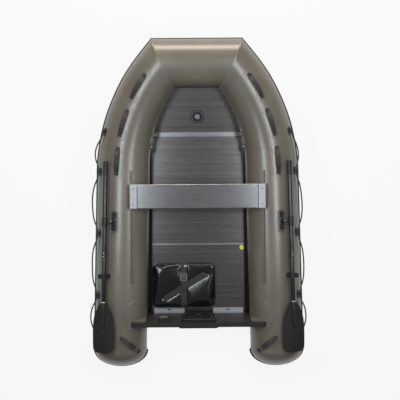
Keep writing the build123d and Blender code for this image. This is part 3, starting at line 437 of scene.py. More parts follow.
def metal(name, low, high, roughness, turn=0.0, depth=0.00006, ribs=0.0):
    """Brushed metal; ribs is the depth of an extrusion's lines, whose heights then also set the colour,
    darker in their hollows as painted shade.
    """
    made = Finish(name, metallic=1.0)
    made.turned((0, 0, turn))
    face = made.effect(brushed_metal)
    made.rough(face["Streak"], *roughness)
    made.bump(face["Height"], depth)
    if ribs:
        rib_relief_and_painted_shade = made.effect(brushed_metal, Length=0.6, Fineness=46.0)
        # The ribs' height sets the colour: painted shade in their hollows.
        made.colour(rib_relief_and_painted_shade["Streak"], low, high)
        made.bump(rib_relief_and_painted_shade["Height"], ribs)
    else:
        made.colour(face["Smudge"], low, high)
    return made.material


def moulded(name, low, high, roughness, grain=900.0, depth=0.0001, gloss=0.5):
    made = Finish(name, Specular_IOR_Level=gloss)
    face = made.effect(moulded_grain, Grain=grain)
    made.colour(face["Mark"], low, high)
    made.rough(face["Mark"], *roughness)
    made.bump(face["Height"], depth)
    return made.material


def woven(name, low, high, roughness, warp, weft, uv=False, depth=0.0004):
    made = Finish(name, roughness=roughness, Sheen_Weight=0.25)
    if uv:
        made.by_uv()
    yarns = made.effect(weave, Warp=warp, Weft=weft)
    # Colour from the weave's painted shade in its hollows and its random tone.
    made.colour(yarns["Shade"], low, high, (0.1, 0.6))
    made.bump(yarns["Height"], depth)
    return made.material


# Each has its darker and its lighter tone, then its roughness, as a range where it varies.
hull_fabric = coated("hull_fabric", (0.116, 0.103, 0.080), (0.140, 0.125, 0.098), (0.29, 0.34), 0.5)
patch_fabric = coated("patch_fabric", (0.114, 0.100, 0.078), (0.136, 0.120, 0.095), (0.31, 0.36))
# Seam tape: coated fabric a little lighter than the hull, the lightness a painted highlight for the light
# line along the seams.
tape_fabric_with_painted_highlight = coated("tape_fabric_with_painted_highlight", (0.125, 0.112, 0.089), (0.150, 0.134, 0.108), (0.30, 0.36))
floor_aluminium = metal(
    "floor_aluminium", (0.125, 0.120, 0.122), (0.185, 0.178, 0.178), (0.20, 0.28), ribs=0.0003
)
joint_aluminium = metal("joint_aluminium", (0.19, 0.188, 0.192), (0.24, 0.238, 0.242), (0.28, 0.36))
bare_aluminium = metal(
    "bare_aluminium", (0.25, 0.254, 0.268), (0.29, 0.294, 0.308), (0.20, 0.26), depth=0.00003
)
clip_aluminium = metal("clip_aluminium", (0.34, 0.335, 0.34), (0.42, 0.415, 0.42), (0.42, 0.52))
# Floor stringers: aluminium, made near black partly as painted shade for the dark band between the tubes and
# the floor.
stringer_aluminium_and_painted_shade = metal("stringer_aluminium_and_painted_shade", (0.020, 0.019, 0.019), (0.035, 0.033, 0.033), (0.35, 0.5))
shaft_aluminium = metal(
    "shaft_aluminium", (0.050, 0.051, 0.058), (0.068, 0.069, 0.078), (0.30, 0.36), math.pi / 2, 0.00002
)
dark_steel = metal("dark_steel", (0.10, 0.10, 0.105), (0.15, 0.15, 0.155), (0.28, 0.38), depth=0.00003)
steel = metal("steel", (0.42, 0.42, 0.43), (0.5, 0.5, 0.51), (0.25, 0.35), depth=0.00003)
black_rubber = moulded(
    "black_rubber", (0.012, 0.012, 0.012), (0.020, 0.020, 0.019), (0.45, 0.6), gloss=0.35
)
black_plastic = moulded(
    "black_plastic", (0.008, 0.008, 0.009), (0.014, 0.014, 0.015), (0.36, 0.48), gloss=0.32
)
grey_plastic = moulded("grey_plastic", (0.30, 0.31, 0.335), (0.36, 0.37, 0.395), (0.38, 0.5))
block_plastic = moulded(
    "block_plastic", (0.014, 0.014, 0.015), (0.024, 0.024, 0.025), (0.38, 0.5), gloss=0.35
)
panel_plastic = moulded("panel_plastic", (0.13, 0.13, 0.135), (0.19, 0.19, 0.195), (0.25, 0.35))
blade_plastic = moulded(
    "blade_plastic", (0.011, 0.011, 0.0115), (0.018, 0.018, 0.018), (0.44, 0.56), gloss=0.35
)
yellow_plastic = moulded("yellow_plastic", (0.70, 0.62, 0.03), (0.80, 0.72, 0.05), (0.3, 0.4))
sleeve_plastic = moulded("sleeve_plastic", (0.006, 0.006, 0.007), (0.012, 0.012, 0.013), (0.26, 0.36))
buckle_plastic = moulded("buckle_plastic", (0.16, 0.16, 0.165), (0.22, 0.22, 0.23), (0.18, 0.28))
transom_paint = moulded(
    "transom_paint", (0.020, 0.019, 0.018), (0.030, 0.028, 0.027), (0.40, 0.52), grain=420.0, gloss=0.35
)
vinyl = moulded(
    "bag_vinyl", (0.004, 0.0045, 0.005), (0.007, 0.0075, 0.008), (0.17, 0.23), grain=300.0, depth=0.00006
)
webbing = woven("webbing", (0.007, 0.0065, 0.007), (0.024, 0.022, 0.023), 0.55, 620.0, 420.0)
thread_yarn = woven(
    "stitching_thread", (0.020, 0.020, 0.021), (0.050, 0.050, 0.052), 0.6, 1800.0, 1800.0, depth=0.0001
)
braid = woven(
    "braided_line", (0.010, 0.010, 0.011), (0.040, 0.040, 0.043), 0.6, 3.0, 60.0, uv=True, depth=0.0008
)

cad_finishes = {
    hull_fabric: ["port_tube", "starboard_tube", "bow_tube", "stern_cones", "bottom_skin", "keel_tube"],
    patch_fabric: ["handle_patches", "seat_tracks", "transom_holders", "rowlock_bases", "inflation_valves"],
    black_rubber: ["port_rub_strake", "starboard_rub_strake", "bow_rub_strake", "line_eyes", "tow_eye"],
    floor_aluminium: ["bow_floor_board", "front_floor_board", "middle_floor_board", "aft_floor_board"],
    joint_aluminium: ["floor_joint_profiles"],
    stringer_aluminium_and_painted_shade: ["floor_stringers"],
    clip_aluminium: ["floor_clips"],
    bare_aluminium: ["seat_plank", "seat_rails"],
    shaft_aluminium: ["port_oar_shaft", "starboard_oar_shaft"],
    black_plastic: [
        "keel_valve", "outer_motor_pad", "inner_motor_pad", "drain_plug", "oar_clips", "port_rowlock",
        "starboard_rowlock", "port_oar_grip", "starboard_oar_grip",
    ],
    block_plastic: ["accessory_block"],
    grey_plastic: ["seat_end_caps"],
    blade_plastic: ["port_oar_blade", "starboard_oar_blade"],
    yellow_plastic: ["floor_lock_button"],
    transom_paint: ["transom_board"],
    dark_steel: ["transom_eye"],
    webbing: ["port_bow_handles", "starboard_bow_handles", "stern_handles", "bag_straps"],
    vinyl: ["battery_bag"],
}
for material, names in cad_finishes.items():
    for name in names:
        nodes[name].data.materials.clear()
        nodes[name].data.materials.append(material)


# ---------------------------------------------------------------- grab lines with their knots
# Each route runs from its fore knot through the eyes to its aft knot, in hanging bows.
line_routes = {
    "starboard": [
        (0.674, 0.536, 0.321), (0.686, 0.488, 0.315), (0.713, 0.439, 0.288), (0.733, 0.385, 0.264),
        (0.734, 0.324, 0.270), (0.714, 0.273, 0.301), (0.716, 0.204, 0.298), (0.744, 0.135, 0.263),
        (0.761, 0.045, 0.224), (0.766, -0.045, 0.213), (0.753, -0.115, 0.252), (0.725, -0.173, 0.298),
        (0.726, -0.243, 0.298), (0.757, -0.315, 0.256), (0.772, -0.395, 0.216), (0.776, -0.480, 0.205),
        (0.766, -0.555, 0.245), (0.735, -0.621, 0.298), (0.737, -0.691, 0.298), (0.774, -0.747, 0.238),
        (0.790, -0.813, 0.198), (0.785, -0.862, 0.220), (0.762, -0.905, 0.262), (0.743, -0.944, 0.297),
        (0.743, -0.982, 0.298),
    ],
    "port": [
        (-0.674, 0.536, 0.321), (-0.686, 0.488, 0.315), (-0.724, 0.439, 0.272), (-0.748, 0.383, 0.237),
        (-0.740, 0.321, 0.260), (-0.714, 0.273, 0.301), (-0.716, 0.204, 0.298), (-0.754, 0.133, 0.258),
        (-0.771, 0.049, 0.234), (-0.772, -0.040, 0.206), (-0.758, -0.113, 0.250), (-0.725, -0.173, 0.298),
        (-0.726, -0.243, 0.298), (-0.762, -0.313, 0.249), (-0.777, -0.393, 0.209), (-0.778, -0.473, 0.202),
        (-0.769, -0.557, 0.242), (-0.735, -0.621, 0.298), (-0.737, -0.691, 0.298), (-0.774, -0.745, 0.242),
        (-0.792, -0.807, 0.206), (-0.788, -0.858, 0.222), (-0.764, -0.903, 0.262), (-0.743, -0.944, 0.297),
        (-0.743, -0.982, 0.298),
    ],
}


def grab_line(name, points):
    """Braided line: one smooth spline through the eyes."""
    curve = bpy.data.curves.new(name, "CURVE")
    curve.dimensions = "3D"
    curve.bevel_depth = line_radius
    curve.bevel_resolution = 5
    curve.resolution_u = 8
    spline = curve.splines.new("NURBS")
    spline.points.add(len(points) - 1)
    for point, place in zip(spline.points, points):
        point.co = (*place, 1)
    spline.order_u = 3
    spline.use_endpoint_u = True
    line = bpy.data.objects.new(name, curve)
    bpy.context.scene.collection.objects.link(line)
    return line


def knot_loops(end, inner):
    """Two crossed turns of line where it ends."""
    out = (Vector(end) - Vector(inner)).normalized()
    middle = Vector(end) + out * knot_radius * 0.35
    turn = out.to_track_quat("Z", "Y")
    radii = (knot_radius * 0.5, line_radius * 0.8)
    loops = []
    for tilt, shift in ((0.5, -0.003), (-0.4, 0.003)):
        lean = (turn @ Euler((tilt, 0, 0)).to_quaternion()).to_euler()
        loops.append(torus("knot_loop", radii, (20, 10), location=middle + out * shift, rotation=lean))
    return loops


for side, points in line_routes.items():
    line = grab_line(f"{side}_braided_line", points)
    dress(line, braid, replaces=[f"{side}_grab_line"])
    loops = knot_loops(points[0], points[1]) + knot_loops(points[-1], points[-2])
    knot = smooth(joined(f"{side}_knots", loops), 60)
    dress(knot, braid, replaces=[f"{side}_line_knots"])


# ---------------------------------------------------------------- the hull's own lines
toe = math.radians(1.3)
mitre = math.radians(42.0)
bend_radius = 1.165
bow_radius = 0.168
bow_rise = tube_radius - 0.030
mitre_x = 0.243
bow_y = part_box("bow_tube")[1].y - bow_radius
bow_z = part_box("bow_tube")[1].z - bow_radius
bend_y = bow_y - bend_radius * (math.sin(mitre) - math.sin(toe))
bend_x = mitre_x + bend_radius * (math.cos(toe) - math.cos(mitre))
sheer_y = bend_y - 0.100
cone_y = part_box("stern_cones")[1].y - 0.004


def heading_at(y):
    if y <= bend_y:
        return toe
    return math.asin(min(1.0, math.sin(toe) + (y - bend_y) / bend_radius))


def tube_section(y):
    """Middle, radius, and the outboard, upward and forward directions of the starboard tube at y."""
    heading = heading_at(y)
    share = max(0.0, y - sheer_y) / (bow_y - sheer_y)
    if y <= bend_y:
        x = bend_x + (bend_y - y) * math.tan(toe)
    else:
        x = bend_x - bend_radius * (math.cos(toe) - math.cos(heading))
    turned = min(1.0, (heading - toe) / (mitre - toe))
    radius = tube_radius + (bow_radius - tube_radius) * turned
    climb = 2 * bow_rise * share / (bow_y - sheer_y) * math.cos(heading)
    outboard = Vector((math.cos(heading), math.sin(heading), 0))
    forward = Vector((-math.sin(heading), math.cos(heading), climb)).normalized()
    middle = Vector((x, y, tube_radius + bow_rise * share**2))
    return middle, radius, outboard, outboard.cross(forward), forward


def on_tube(y, angle, height=0.0, turn=0.0):
    """Place on the starboard tube, angle degrees outboard of its top: X around it, Y forward, Z outwards."""
    middle, radius, outboard, up, _ = tube_section(y)
    lean = math.radians(angle)
    outwards = outboard * math.sin(lean) + up * math.cos(lean)
    around = outboard * math.cos(lean) - up * math.sin(lean)
    place = place_matrix(middle + outwards * (radius + height), around, outwards.cross(around), outwards)
    return place @ Matrix.Rotation(math.radians(turn), 4, "Z")


# The tubes and cones in one piece, to lay fabric on; it is deleted again at the end.
hull_nodes = [nodes[name] for name in ("port_tube", "starboard_tube", "bow_tube", "stern_cones")]
hull = joined("hull_copy", [moved_copy(tube, "hull_copy", Matrix()) for tube in hull_nodes])


def glued(piece, thickness, height=0.0003, edge=0.0006):
    """Lays a flat piece on the tubes and gives it its thickness."""
    laid_on(piece, hull, height)
    thickened(piece, thickness)
    rounded(piece, edge)
    for vertex in piece.data.vertices:
        vertex.co.z = max(vertex.co.z, 0.0)
    return smooth(piece, 45)


def flat_patch(name, width, length, corner, step):
    """Flat patch in the XY plane with round corners, in even squares so that it can follow a tube."""
    piece = grid(name, round(width / step), round(length / step), width, length)
    inner = Vector((width / 2 - corner, length / 2 - corner))
    for vertex in piece.data.vertices:
        aside = Vector((abs(vertex.co.x), abs(vertex.co.y))) - inner
        if aside.x > 0 and aside.y > 0:
            drawn_in = inner + aside * (max(aside) / aside.length)
            vertex.co.x = math.copysign(drawn_in.x, vertex.co.x)
            vertex.co.y = math.copysign(drawn_in.y, vertex.co.y)
    return piece


def flat_disc(name, radius, rings):
    piece = primitive(name, bpy.ops.mesh.primitive_circle_add, radius=radius, vertices=96, fill_type="NGON")
    with shaping(piece, everything):
        for _ in range(rings):
            inset(radius / (rings + 1))
    return piece


def both_sides(piece, places, name):
    """Copies of a starboard piece at each place, and their port twins, joined."""
    copies = []
    for place in places:
        copies.append(moved_copy(piece, name, place))
        copies.append(moved_copy(piece, name, to_port @ place))
    bpy.data.objects.remove(piece)
    return joined(name, copies)


def patched(name, shape, places, thickness, height=0.0003, edge=0.0006, replaces=()):
    """Copies of a flat piece of patch fabric, glued on both tubes at their places."""
    patches = glued(both_sides(shape, places, name), thickness, height, edge)
    dress(patches, patch_fabric, replaces=replaces)


# ---------------------------------------------------------------- seams of the tubes
def seam_tape(name, middle, radius, along, width, cuts):
    """Tape around a tube, half on each side of its seam."""
    turn = along.to_track_quat("Z", "Y").to_euler()
    tape = cylinder(name, radius, width, 160, middle, end_fill_type="NOTHING", rotation=turn)

    def runs_along(_, edge):
        return abs((edge.verts[0].co - edge.verts[1].co).normalized().dot(along)) > 0.9

    with shaping(tape, runs_along, "EDGE"):
        bpy.ops.mesh.subdivide(number_cuts=cuts)
    return [tape, port_twin(tape, tape.name + "_port")]


mitre_normal = (tube_section(bow_y)[4] + Vector((-1, 0, 0))).normalized()
tapes = seam_tape("mitre_tape", (mitre_x, bow_y, bow_z), bow_radius * 1.12, mitre_normal, 0.022, 5)
cone_middle, cone_radius, _, _, cone_forward = tube_section(cone_y + 0.004)
tapes += seam_tape("cone_tape", cone_middle, cone_radius + 0.001, cone_forward, 0.034, 3)
dress(glued(joined("seam_tapes", tapes), 0.0012, 0.0004, 0.0005), tape_fabric_with_painted_highlight)

transom_places = [on_tube(-0.800, -40, 0.002)]
patched("transom_patches", flat_disc("transom_patch", 0.112, 9), transom_places, 0.0016, 0.0004, 0.0004)

# ---------------------------------------------------------------- carrying handles on their patches
strap_width = 0.030
strap_thickness = 0.0045
seat_of_strap = 0.0003 + 0.002 + 0.0038 + 0.0025
foot_inset = 0.012
patch_lift = 0.003
bow_handle_length = 0.205
bow_handle_angle = 9.5
bow_handle_ys = [bow_y - 0.1607, bow_y - 0.4117, bow_y - 0.6917]
stern_handle_length = 0.190
stern_handle_angle = -25
stern_handle_turn = -54
stern_handle_y = cone_y + 0.0607


def strap(name, length, rise, drop):
    """Webbing along Y that lies flat at both ends, drop lower than its middle would, and arches between."""
    half = length / 2
    foot = [(-half, -drop), (-half + 0.030, -drop * 0.55), (-half + 0.046, rise * 0.5), (-half + 0.062, rise)]
    profile = foot + [(0, rise + 0.002)] + [(-y, z) for y, z in reversed(foot)]
    piece = plane(name, strap_width, 0.0001, at(0, *profile[0]))

    def fore_edge(middle, edge):
        return middle.y > -half and span(edge, 0) > strap_width / 2

    with shaping(piece, fore_edge, "EDGE"):
        for before, after in zip(profile, profile[1:]):
            extrude(0, after[0] - before[0], after[1] - before[1])
    divided(piece, 3)
    thickened(piece, strap_thickness, 0.0)
    rounded(piece, strap_thickness * 0.35, 3)
    return smooth(piece, 60)


def stitched_box(name, width, length, height):
    """Thread of a box stitch, as short raised stitches around a rectangle and over its diagonals."""
    corners = [(-1, -1), (1, -1), (1, 1), (-1, 1)]
    runs = list(zip(corners, corners[1:] + corners[:1]))
    runs += [(corners[0], corners[2]), (corners[3], corners[1])]
    stitch = cylinder("stitch", 0.0006, 0.0030, 6, rotation=(0, math.pi / 2, 0))
    pitch = 0.0042
    stitches = []
    for run in runs:
        start, end = (Vector((x * width / 2, y * length / 2, height)) for x, y in run)
        count = int((end - start).length / pitch)
        turn = Matrix.Rotation(math.atan2(end.y - start.y, end.x - start.x), 4, "Z")
        for index in range(count):
            place = start.lerp(end, (index + 0.5) / count)
            stitches.append(moved_copy(stitch, name, Matrix.Translation(place) @ turn))
    bpy.data.objects.remove(stitch)
    return joined(name, stitches)


def handle_with_stitching(name, length, drop):
    """A handle's strap and the stitching that holds its two feet."""
    webbing_strap = strap(name, length, 0.022, drop)
    feet = []
    for end in (-1, 1):
        foot = stitched_box("foot_stitching", strap_width * 0.72, 0.018, 0.0030 - drop * 0.8)
        foot.data.transform(at(0, end * (length / 2 - 0.0135), 0))
        feet.append(foot)
    return webbing_strap, joined(name + "_stitching", feet)


stern_reach = stern_handle_length / 2 * math.sin(math.radians(-stern_handle_turn))
bow_places = [on_tube(y, bow_handle_angle, seat_of_strap) for y in bow_handle_ys]
stern_places = [on_tube(stern_handle_y, stern_handle_angle, seat_of_strap, stern_handle_turn)]
bow_strap, bow_thread = handle_with_stitching("bow_handle_straps", bow_handle_length, 0.0)
stern_drop = stern_reach**2 / (2 * tube_radius)
stern_strap, stern_thread = handle_with_stitching("stern_handle_straps", stern_handle_length, stern_drop)
bow_straps = both_sides(bow_strap, bow_places, "bow_handle_straps")
stern_straps = both_sides(stern_strap, stern_places, "stern_handle_straps")
dress(bow_straps, webbing, replaces=["port_bow_handles", "starboard_bow_handles"])
dress(stern_straps, webbing, replaces=["stern_handles"])
threads = [both_sides(bow_thread, bow_places, "a"), both_sides(stern_thread, stern_places, "b")]
dress(joined("handle_stitching", threads), thread_yarn)

foot_places = []
for y in bow_handle_ys:
    for end in (-1, 1):
        along = end * (bow_handle_length / 2 - foot_inset) * math.cos(heading_at(y))
        foot_places.append(on_tube(y + along, bow_handle_angle, patch_lift))
for end in (-1, 1):
    reach = end * (stern_handle_length / 2 - foot_inset)
    turn = math.radians(stern_handle_turn)
    around = math.degrees(-reach * math.sin(turn) / tube_radius)
    foot_y = stern_handle_y + reach * math.cos(turn)
    foot_places.append(on_tube(foot_y, stern_handle_angle + around, patch_lift, stern_handle_turn))
foot_patch = flat_patch("foot_patch", 0.066, 0.062, 0.010, 0.0028)
patched("handle_foot_patches", foot_patch, foot_places, 0.0012, replaces=["handle_patches"])


# ---------------------------------------------------------------- apron from the bottom skin to the bow tube
def lowest(target, x, y):
    """Height of the target's underside at x, y, or None beside it."""
    hit, place, _, _ = target.ray_cast(Vector((x, y, -1.0)), Vector((0, 0, 1)))
    return place.z if hit else None


def apron_profile(x, span_rows, tube_rows):
    """Places (y, z) from a lap under the skin, straight to where it touches the tube, and along the tube."""
    skin = nodes["bottom_skin"]
    lap = 0.022
    edge_y = bow_y - 0.080
    while lowest(skin, x, edge_y) is None:
        edge_y -= 0.004
    edge_z = lowest(skin, x, edge_y)
    touch = None
    for step in range(60):
        y = edge_y + 0.006 + step * 0.0025
        z = lowest(hull, x, y)
        if z is not None and (touch is None or (z - edge_z) / (y - edge_y) < touch[0]):
            touch = ((z - edge_z) / (y - edge_y), y, z)
    _, touch_y, touch_z = touch
    profile = [(edge_y - lap, lowest(skin, x, edge_y - lap))]
    for row in range(span_rows + 1):
        share = row / span_rows
        profile.append((edge_y + (touch_y - edge_y) * share, edge_z + (touch_z - edge_z) * share))
    glued_to = max(bow_y + 0.030, touch_y + 0.02)
    for row in range(1, tube_rows + 1):
        y = touch_y + (glued_to - touch_y) * row / tube_rows
        profile.append((y, lowest(hull, x, y)))
    return profile


def bow_apron():
    """Fabric that laps under the skin's fore edge and is glued along the underside of the bow tube."""
    half_width, span_rows, tube_rows = 0.262, 9, 7
    apron = grid("bow_apron", 48, 1 + span_rows + tube_rows)
    columns = {}
    for vertex in apron.data.vertices:
        columns.setdefault(round(vertex.co.x, 4), []).append(vertex)
    for across, column in columns.items():
        x = 2 * across * half_width
        column.sort(key=lambda vertex: vertex.co.y)
        for vertex, (y, z) in zip(column, apron_profile(x, span_rows, tube_rows)):
            vertex.co = (x, y, z - 0.0006)
    evened(apron, 2)
    thickened(apron, 0.0016, -1.0)
    rounded(apron, 0.0005)
    return smooth(apron, 45)


dress(bow_apron(), hull_fabric)


# ---------------------------------------------------------------- oars and what holds them
seat_y = (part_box("seat_plank")[0].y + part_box("seat_plank")[1].y) / 2
rowlock_y = seat_y - 0.1775
rowlock_angle = 15
clip_y, clip_angle = rowlock_y - 0.403, 24
oar_place = on_tube(rowlock_y, rowlock_angle, 0.060) @ at(0.046, 0, 0)
oar_neck = -0.571
oar_stop = (-0.211, -0.255)
shaft_radius = 0.0158
along_y = (math.pi / 2, 0, 0)


def fitted_to_oar(piece, name, material, replaced=None):
    """Puts a piece made along the oar's own Y on the starboard oar, and its twin on the port one."""
    piece.data.transform(oar_place)
    piece.name = f"starboard_{name}"
    for side, made in (("starboard", piece), ("port", port_twin(piece, f"port_{name}"))):
        dress(made, material, f"{side}_oar", [f"{side}_{replaced}"] if replaced else ())


def blade_paddle():
    """Spooned blade with a raised rim and round shoulders, from rows of reach and half width."""
    rows = [
        (0.000, 0.024), (0.018, 0.030), (0.036, 0.041), (0.056, 0.0515), (0.076, 0.0600), (0.098, 0.0670),
        (0.122, 0.0725), (0.150, 0.0765), (0.185, 0.0785), (0.225, 0.0790), (0.270, 0.0785), (0.310, 0.0775),
        (0.331, 0.0760), (0.345, 0.0710), (0.354, 0.0620), (0.3585, 0.0500),
    ]
    blade = grid("oar_blade", 10, 1, 2 * rows[0][1], 0.006, at(0, oar_neck + 0.003, 0))
    with shaping(blade, lambda middle, _: middle.y < oar_neck + 0.0002, "EDGE"):
        for before, after in zip(rows, rows[1:]):
            extrude(0, before[0] - after[0], 0)
            wider = (after[1] / before[1], 1, 1)
            bpy.ops.transform.resize(value=wider, center_override=(0, oar_neck - after[0], 0))
    divided(blade)
    for vertex in blade.data.vertices:
        share = min(1.0, max(0.0, (oar_neck - vertex.co.y) / 0.15))
        spoon = 0.10 * max(0.0, oar_neck - 0.1 - vertex.co.y) ** 2
        vertex.co.z -= share * (1.5 * vertex.co.x**2) + spoon
    thickened(blade, 0.0065, 0.0)
    for side in (1, -1):
        with shaping(blade, lambda _, face: face.normal.z * side > 0.85):
            bpy.ops.mesh.inset(thickness=0.0060, depth=0, use_even_offset=False)
            bpy.ops.mesh.inset(thickness=0.0012, depth=-0.0014, use_even_offset=False)
    return rounded(blade, 0.0018, 3, 40)


def blade_spine():
    """The socket's spine, tapering down the blade's back."""
    length = 0.100
    spine = cylinder("spine", 0.0192, length, 40, (0, oar_neck - length / 2, 0), rotation=along_y)
    tapers = ((0.045, 0.86, 0.80, 0.0022), (0.035, 0.80, 0.72, 0.0025), (0.018, 0.62, 0.50, 0.0025))
    with shaping(spine, lambda middle, _: middle.y < oar_neck - 0.099):
        for reach, wide, high, fall in tapers:
            extrude(0, -reach, -fall)
            centre = (0, oar_neck - length, -fall)
            bpy.ops.transform.resize(value=(wide, 1, high), center_override=centre)
    return rounded(spine, 0.0016, 3)


def tube_along_oar(name, radius, start, end):
    """Round sleeve along the shaft from start aft to end, its rims rounded."""
    sleeve = cylinder(name, radius, start - end, 48, (0, (start + end) / 2, 0), rotation=along_y)
    with shaping(sleeve, lambda _, face: abs(face.normal.y) > 0.9):
        inset(radius - shaft_radius)
    return smooth(rounded(sleeve, 0.0012, 3))


def press_button(y):
    button = primitive(
        "press_button",
        bpy.ops.mesh.primitive_uv_sphere_add,
        radius=0.0045,
        segments=24,
        ring_count=12,
        location=(0, y, 0.0185),
        scale=(1, 1, 0.7),
    )
    with shaping(button, lambda middle, _: middle.z > 0.0208):
        bpy.ops.transform.translate(value=(0, 0, -0.0003))
    return smooth(button, 60)


blade = smooth(joined("oar_blade", [blade_paddle(), blade_spine()]))
sleeve = tube_along_oar("sleeve", 0.0167, oar_stop[1], oar_neck)
neck_ring = tube_along_oar("ring", 0.0202, oar_neck + 0.004, oar_neck - 0.004)
buttons = joined("buttons", [press_button(oar_stop[0] - 0.012), press_button(oar_stop[1] + 0.010)])
fitted_to_oar(blade, "blade_moulding", blade_plastic, "oar_blade")
fitted_to_oar(sleeve, "lower_shaft_sleeve", sleeve_plastic)
fitted_to_oar(neck_ring, "blade_neck_ring", steel)
fitted_to_oar(buttons, "joint_buttons", steel)

rowlock_patch = flat_patch("rowlock_patch", 0.076, 0.180, 0.030, 0.0040)
rowlock_places = [on_tube(rowlock_y, rowlock_angle, patch_lift)]
patched("rowlock_patches", rowlock_patch, rowlock_places, 0.0030, 0.0001, 0.0008)
patched("clip_patches", flat_disc("clip_patch", 0.037, 5), [on_tube(clip_y, clip_angle, patch_lift)], 0.0024)


def pin_nut():
    """Domed nut on a washer, on the rowlock's pin."""
    nut = cylinder("pin_nut", 0.0115, 0.007, 6, (0, 0, 0.0765))
    with shaping(nut, top_face):
        inset(0.0025)
        extrude(0, 0, 0.0025)
        bpy.ops.transform.resize(value=(0.7, 0.7, 1))
    rounded(nut, 0.0007, angle=30)
    washer = torus("washer", (0.0105, 0.0016), (40, 8), location=(0, 0, 0.0735))
    return smooth(joined("pin_nut", [nut, washer]))


def rowlock_insert():
    """Black insert of the rowlock's plate: a dished pad fore and aft of its boss, and a collar around it."""
    parts = []
    for y in (-0.044, 0.044):
        pad = flat_patch("pad", 0.0360, 0.0500, 0.0090, 0.0022)
        with shaping(pad, lambda middle, _: abs(middle.x) < 0.0145 and abs(middle.y) < 0.0215):
            bpy.ops.transform.translate(value=(0, 0, -0.0006))
        pad.data.transform(at(0, y, 0.0060))
        parts.append(thickened(pad, 0.0012))
    collar = cylinder("collar", 0.0182, 0.0124, 64, (0, 0, 0.0124))
    with shaping(collar, top_face):
        inset(0.0030, 0.0008)
        inset(0.0070, -0.0006)
    parts.append(rounded(collar, 0.0006))
    return smooth(joined("rowlock_insert", parts))


on_rowlock = [on_tube(rowlock_y, rowlock_angle)]
dress(both_sides(pin_nut(), on_rowlock, "rowlock_nuts"), dark_steel)
gasket = flat_patch("rowlock_gasket", 0.0560, 0.1640, 0.0220, 0.0035)
gaskets = both_sides(gasket, [on_tube(rowlock_y, rowlock_angle, 0.004)], "rowlock_gaskets")
dress(glued(gaskets, 0.0034, 0.0001), black_rubber)
dress(both_sides(rowlock_insert(), on_rowlock, "rowlock_inserts"), black_plastic)


# ---------------------------------------------------------------- seat fittings
plank_low, plank_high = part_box("seat_plank")
cap_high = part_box("seat_end_caps")[1]


def screw(name, radius, height):
    """Domed screw head with a round recess, standing on the XY plane."""
    head = cylinder(name, radius, height, 32, (0, 0, height / 2))
    with shaping(head, top_face):
        inset(radius * 0.28, height * 0.45)
        inset(radius * 0.30)
        extrude(0, 0, -height * 0.5)
    return smooth(rounded(head, radius * 0.06, angle=30))


def seat_seam(x):
    """Shadow gap between an end cap and the plank: a dark band around the seat, barely proud of it."""
    size = plank_high - plank_low
    middle = at(x, seat_y, (plank_low.z + plank_high.z) / 2)
    band = cube("seat_seam", (0.0050, size.y, size.z), middle)
    with shaping(band, lambda _, face: abs(face.normal.x) > 0.9):
        bpy.ops.mesh.delete(type="FACE")
    with shaping(band, lambda _, edge: span(edge, 0) < 0.001, "EDGE"):
        bpy.ops.mesh.subdivide(number_cuts=15)
    laid_on(band, nodes["seat_plank"], 0.0001)
    return smooth(thickened(band, 0.0005), 50)


seat_screw = screw("seat_screw", 0.0050, 0.0018)
screws = []
for across in (-1, 1):
    for along in (-0.055, 0.055):
        height = cap_high.z - 0.0012 + (along - 0.08) * 0.0126
        place = Vector((across * (cap_high.x + plank_high.x) / 2, seat_y + along, height))
        screws.append(moved_copy(seat_screw, "seat_screws", Matrix.Translation(place)))
bpy.data.objects.remove(seat_screw)
dress(joined("seat_screws", screws), dark_steel, "seat")
seam_x = plank_high.x - 0.0027
dress(joined("seat_seams", [seat_seam(-seam_x), seat_seam(seam_x)]), black_rubber, "seat")


# ---------------------------------------------------------------- transom fittings
rake = math.radians(8.0)
transom_foot_y = cone_y + 0.2717
transom_top = 0.385 / math.cos(rake)
board_up = (0, -math.sin(rake), math.cos(rake))
inner_face = place_matrix((0, transom_foot_y, 0), (-1, 0, 0), board_up, (0, math.cos(rake), math.sin(rake)))
pad_thickness = 0.0260


def coach_bolt():
    """Bolt head on a wide washer, standing on the XY plane."""
    washer = cylinder("washer", 0.0105, 0.0016, 40, (0, 0, 0.0008))
    with shaping(washer, top_face):
        inset(0.0012, 0.0004)
    head = rounded(cylinder("head", 0.0068, 0.0045, 6, (0, 0, 0.0040)), 0.0008, angle=30)
    return smooth(joined("coach_bolt", [washer, head]))


bolt = coach_bolt()
bolt_places = [(x, up, 0.0002) for x, up in ((0.385, 0.345), (-0.385, 0.345), (0.35, 0.15), (-0.35, 0.15))]
for x in (0.095, -0.095):
    for below in (0.030, 0.120):
        bolt_places.append((x, transom_top - below, pad_thickness + 0.0002))
bolts = [moved_copy(bolt, "transom_bolts", inner_face @ Matrix.Translation(place)) for place in bolt_places]
bpy.data.objects.remove(bolt)
dress(joined("transom_bolts", bolts), dark_steel)

panel = rounded(thickened(flat_patch("block_panel", 0.056, 0.034, 0.006, 0.002), 0.0012), 0.0004)
panel.data.transform(inner_face @ at(0.250, transom_top - 0.031, 0.0362))
dress(smooth(panel), panel_plastic)


# ---------------------------------------------------------------- keel valve's trim
board_slope = math.radians(10.0)
valve_y = (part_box("keel_valve")[0].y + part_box("keel_valve")[1].y) / 2
valve_z = floor_top + math.tan(board_slope) * 0.1115 + 0.0045
valve_face = at(0, valve_y, valve_z) @ Matrix.Rotation(board_slope, 4, "X")


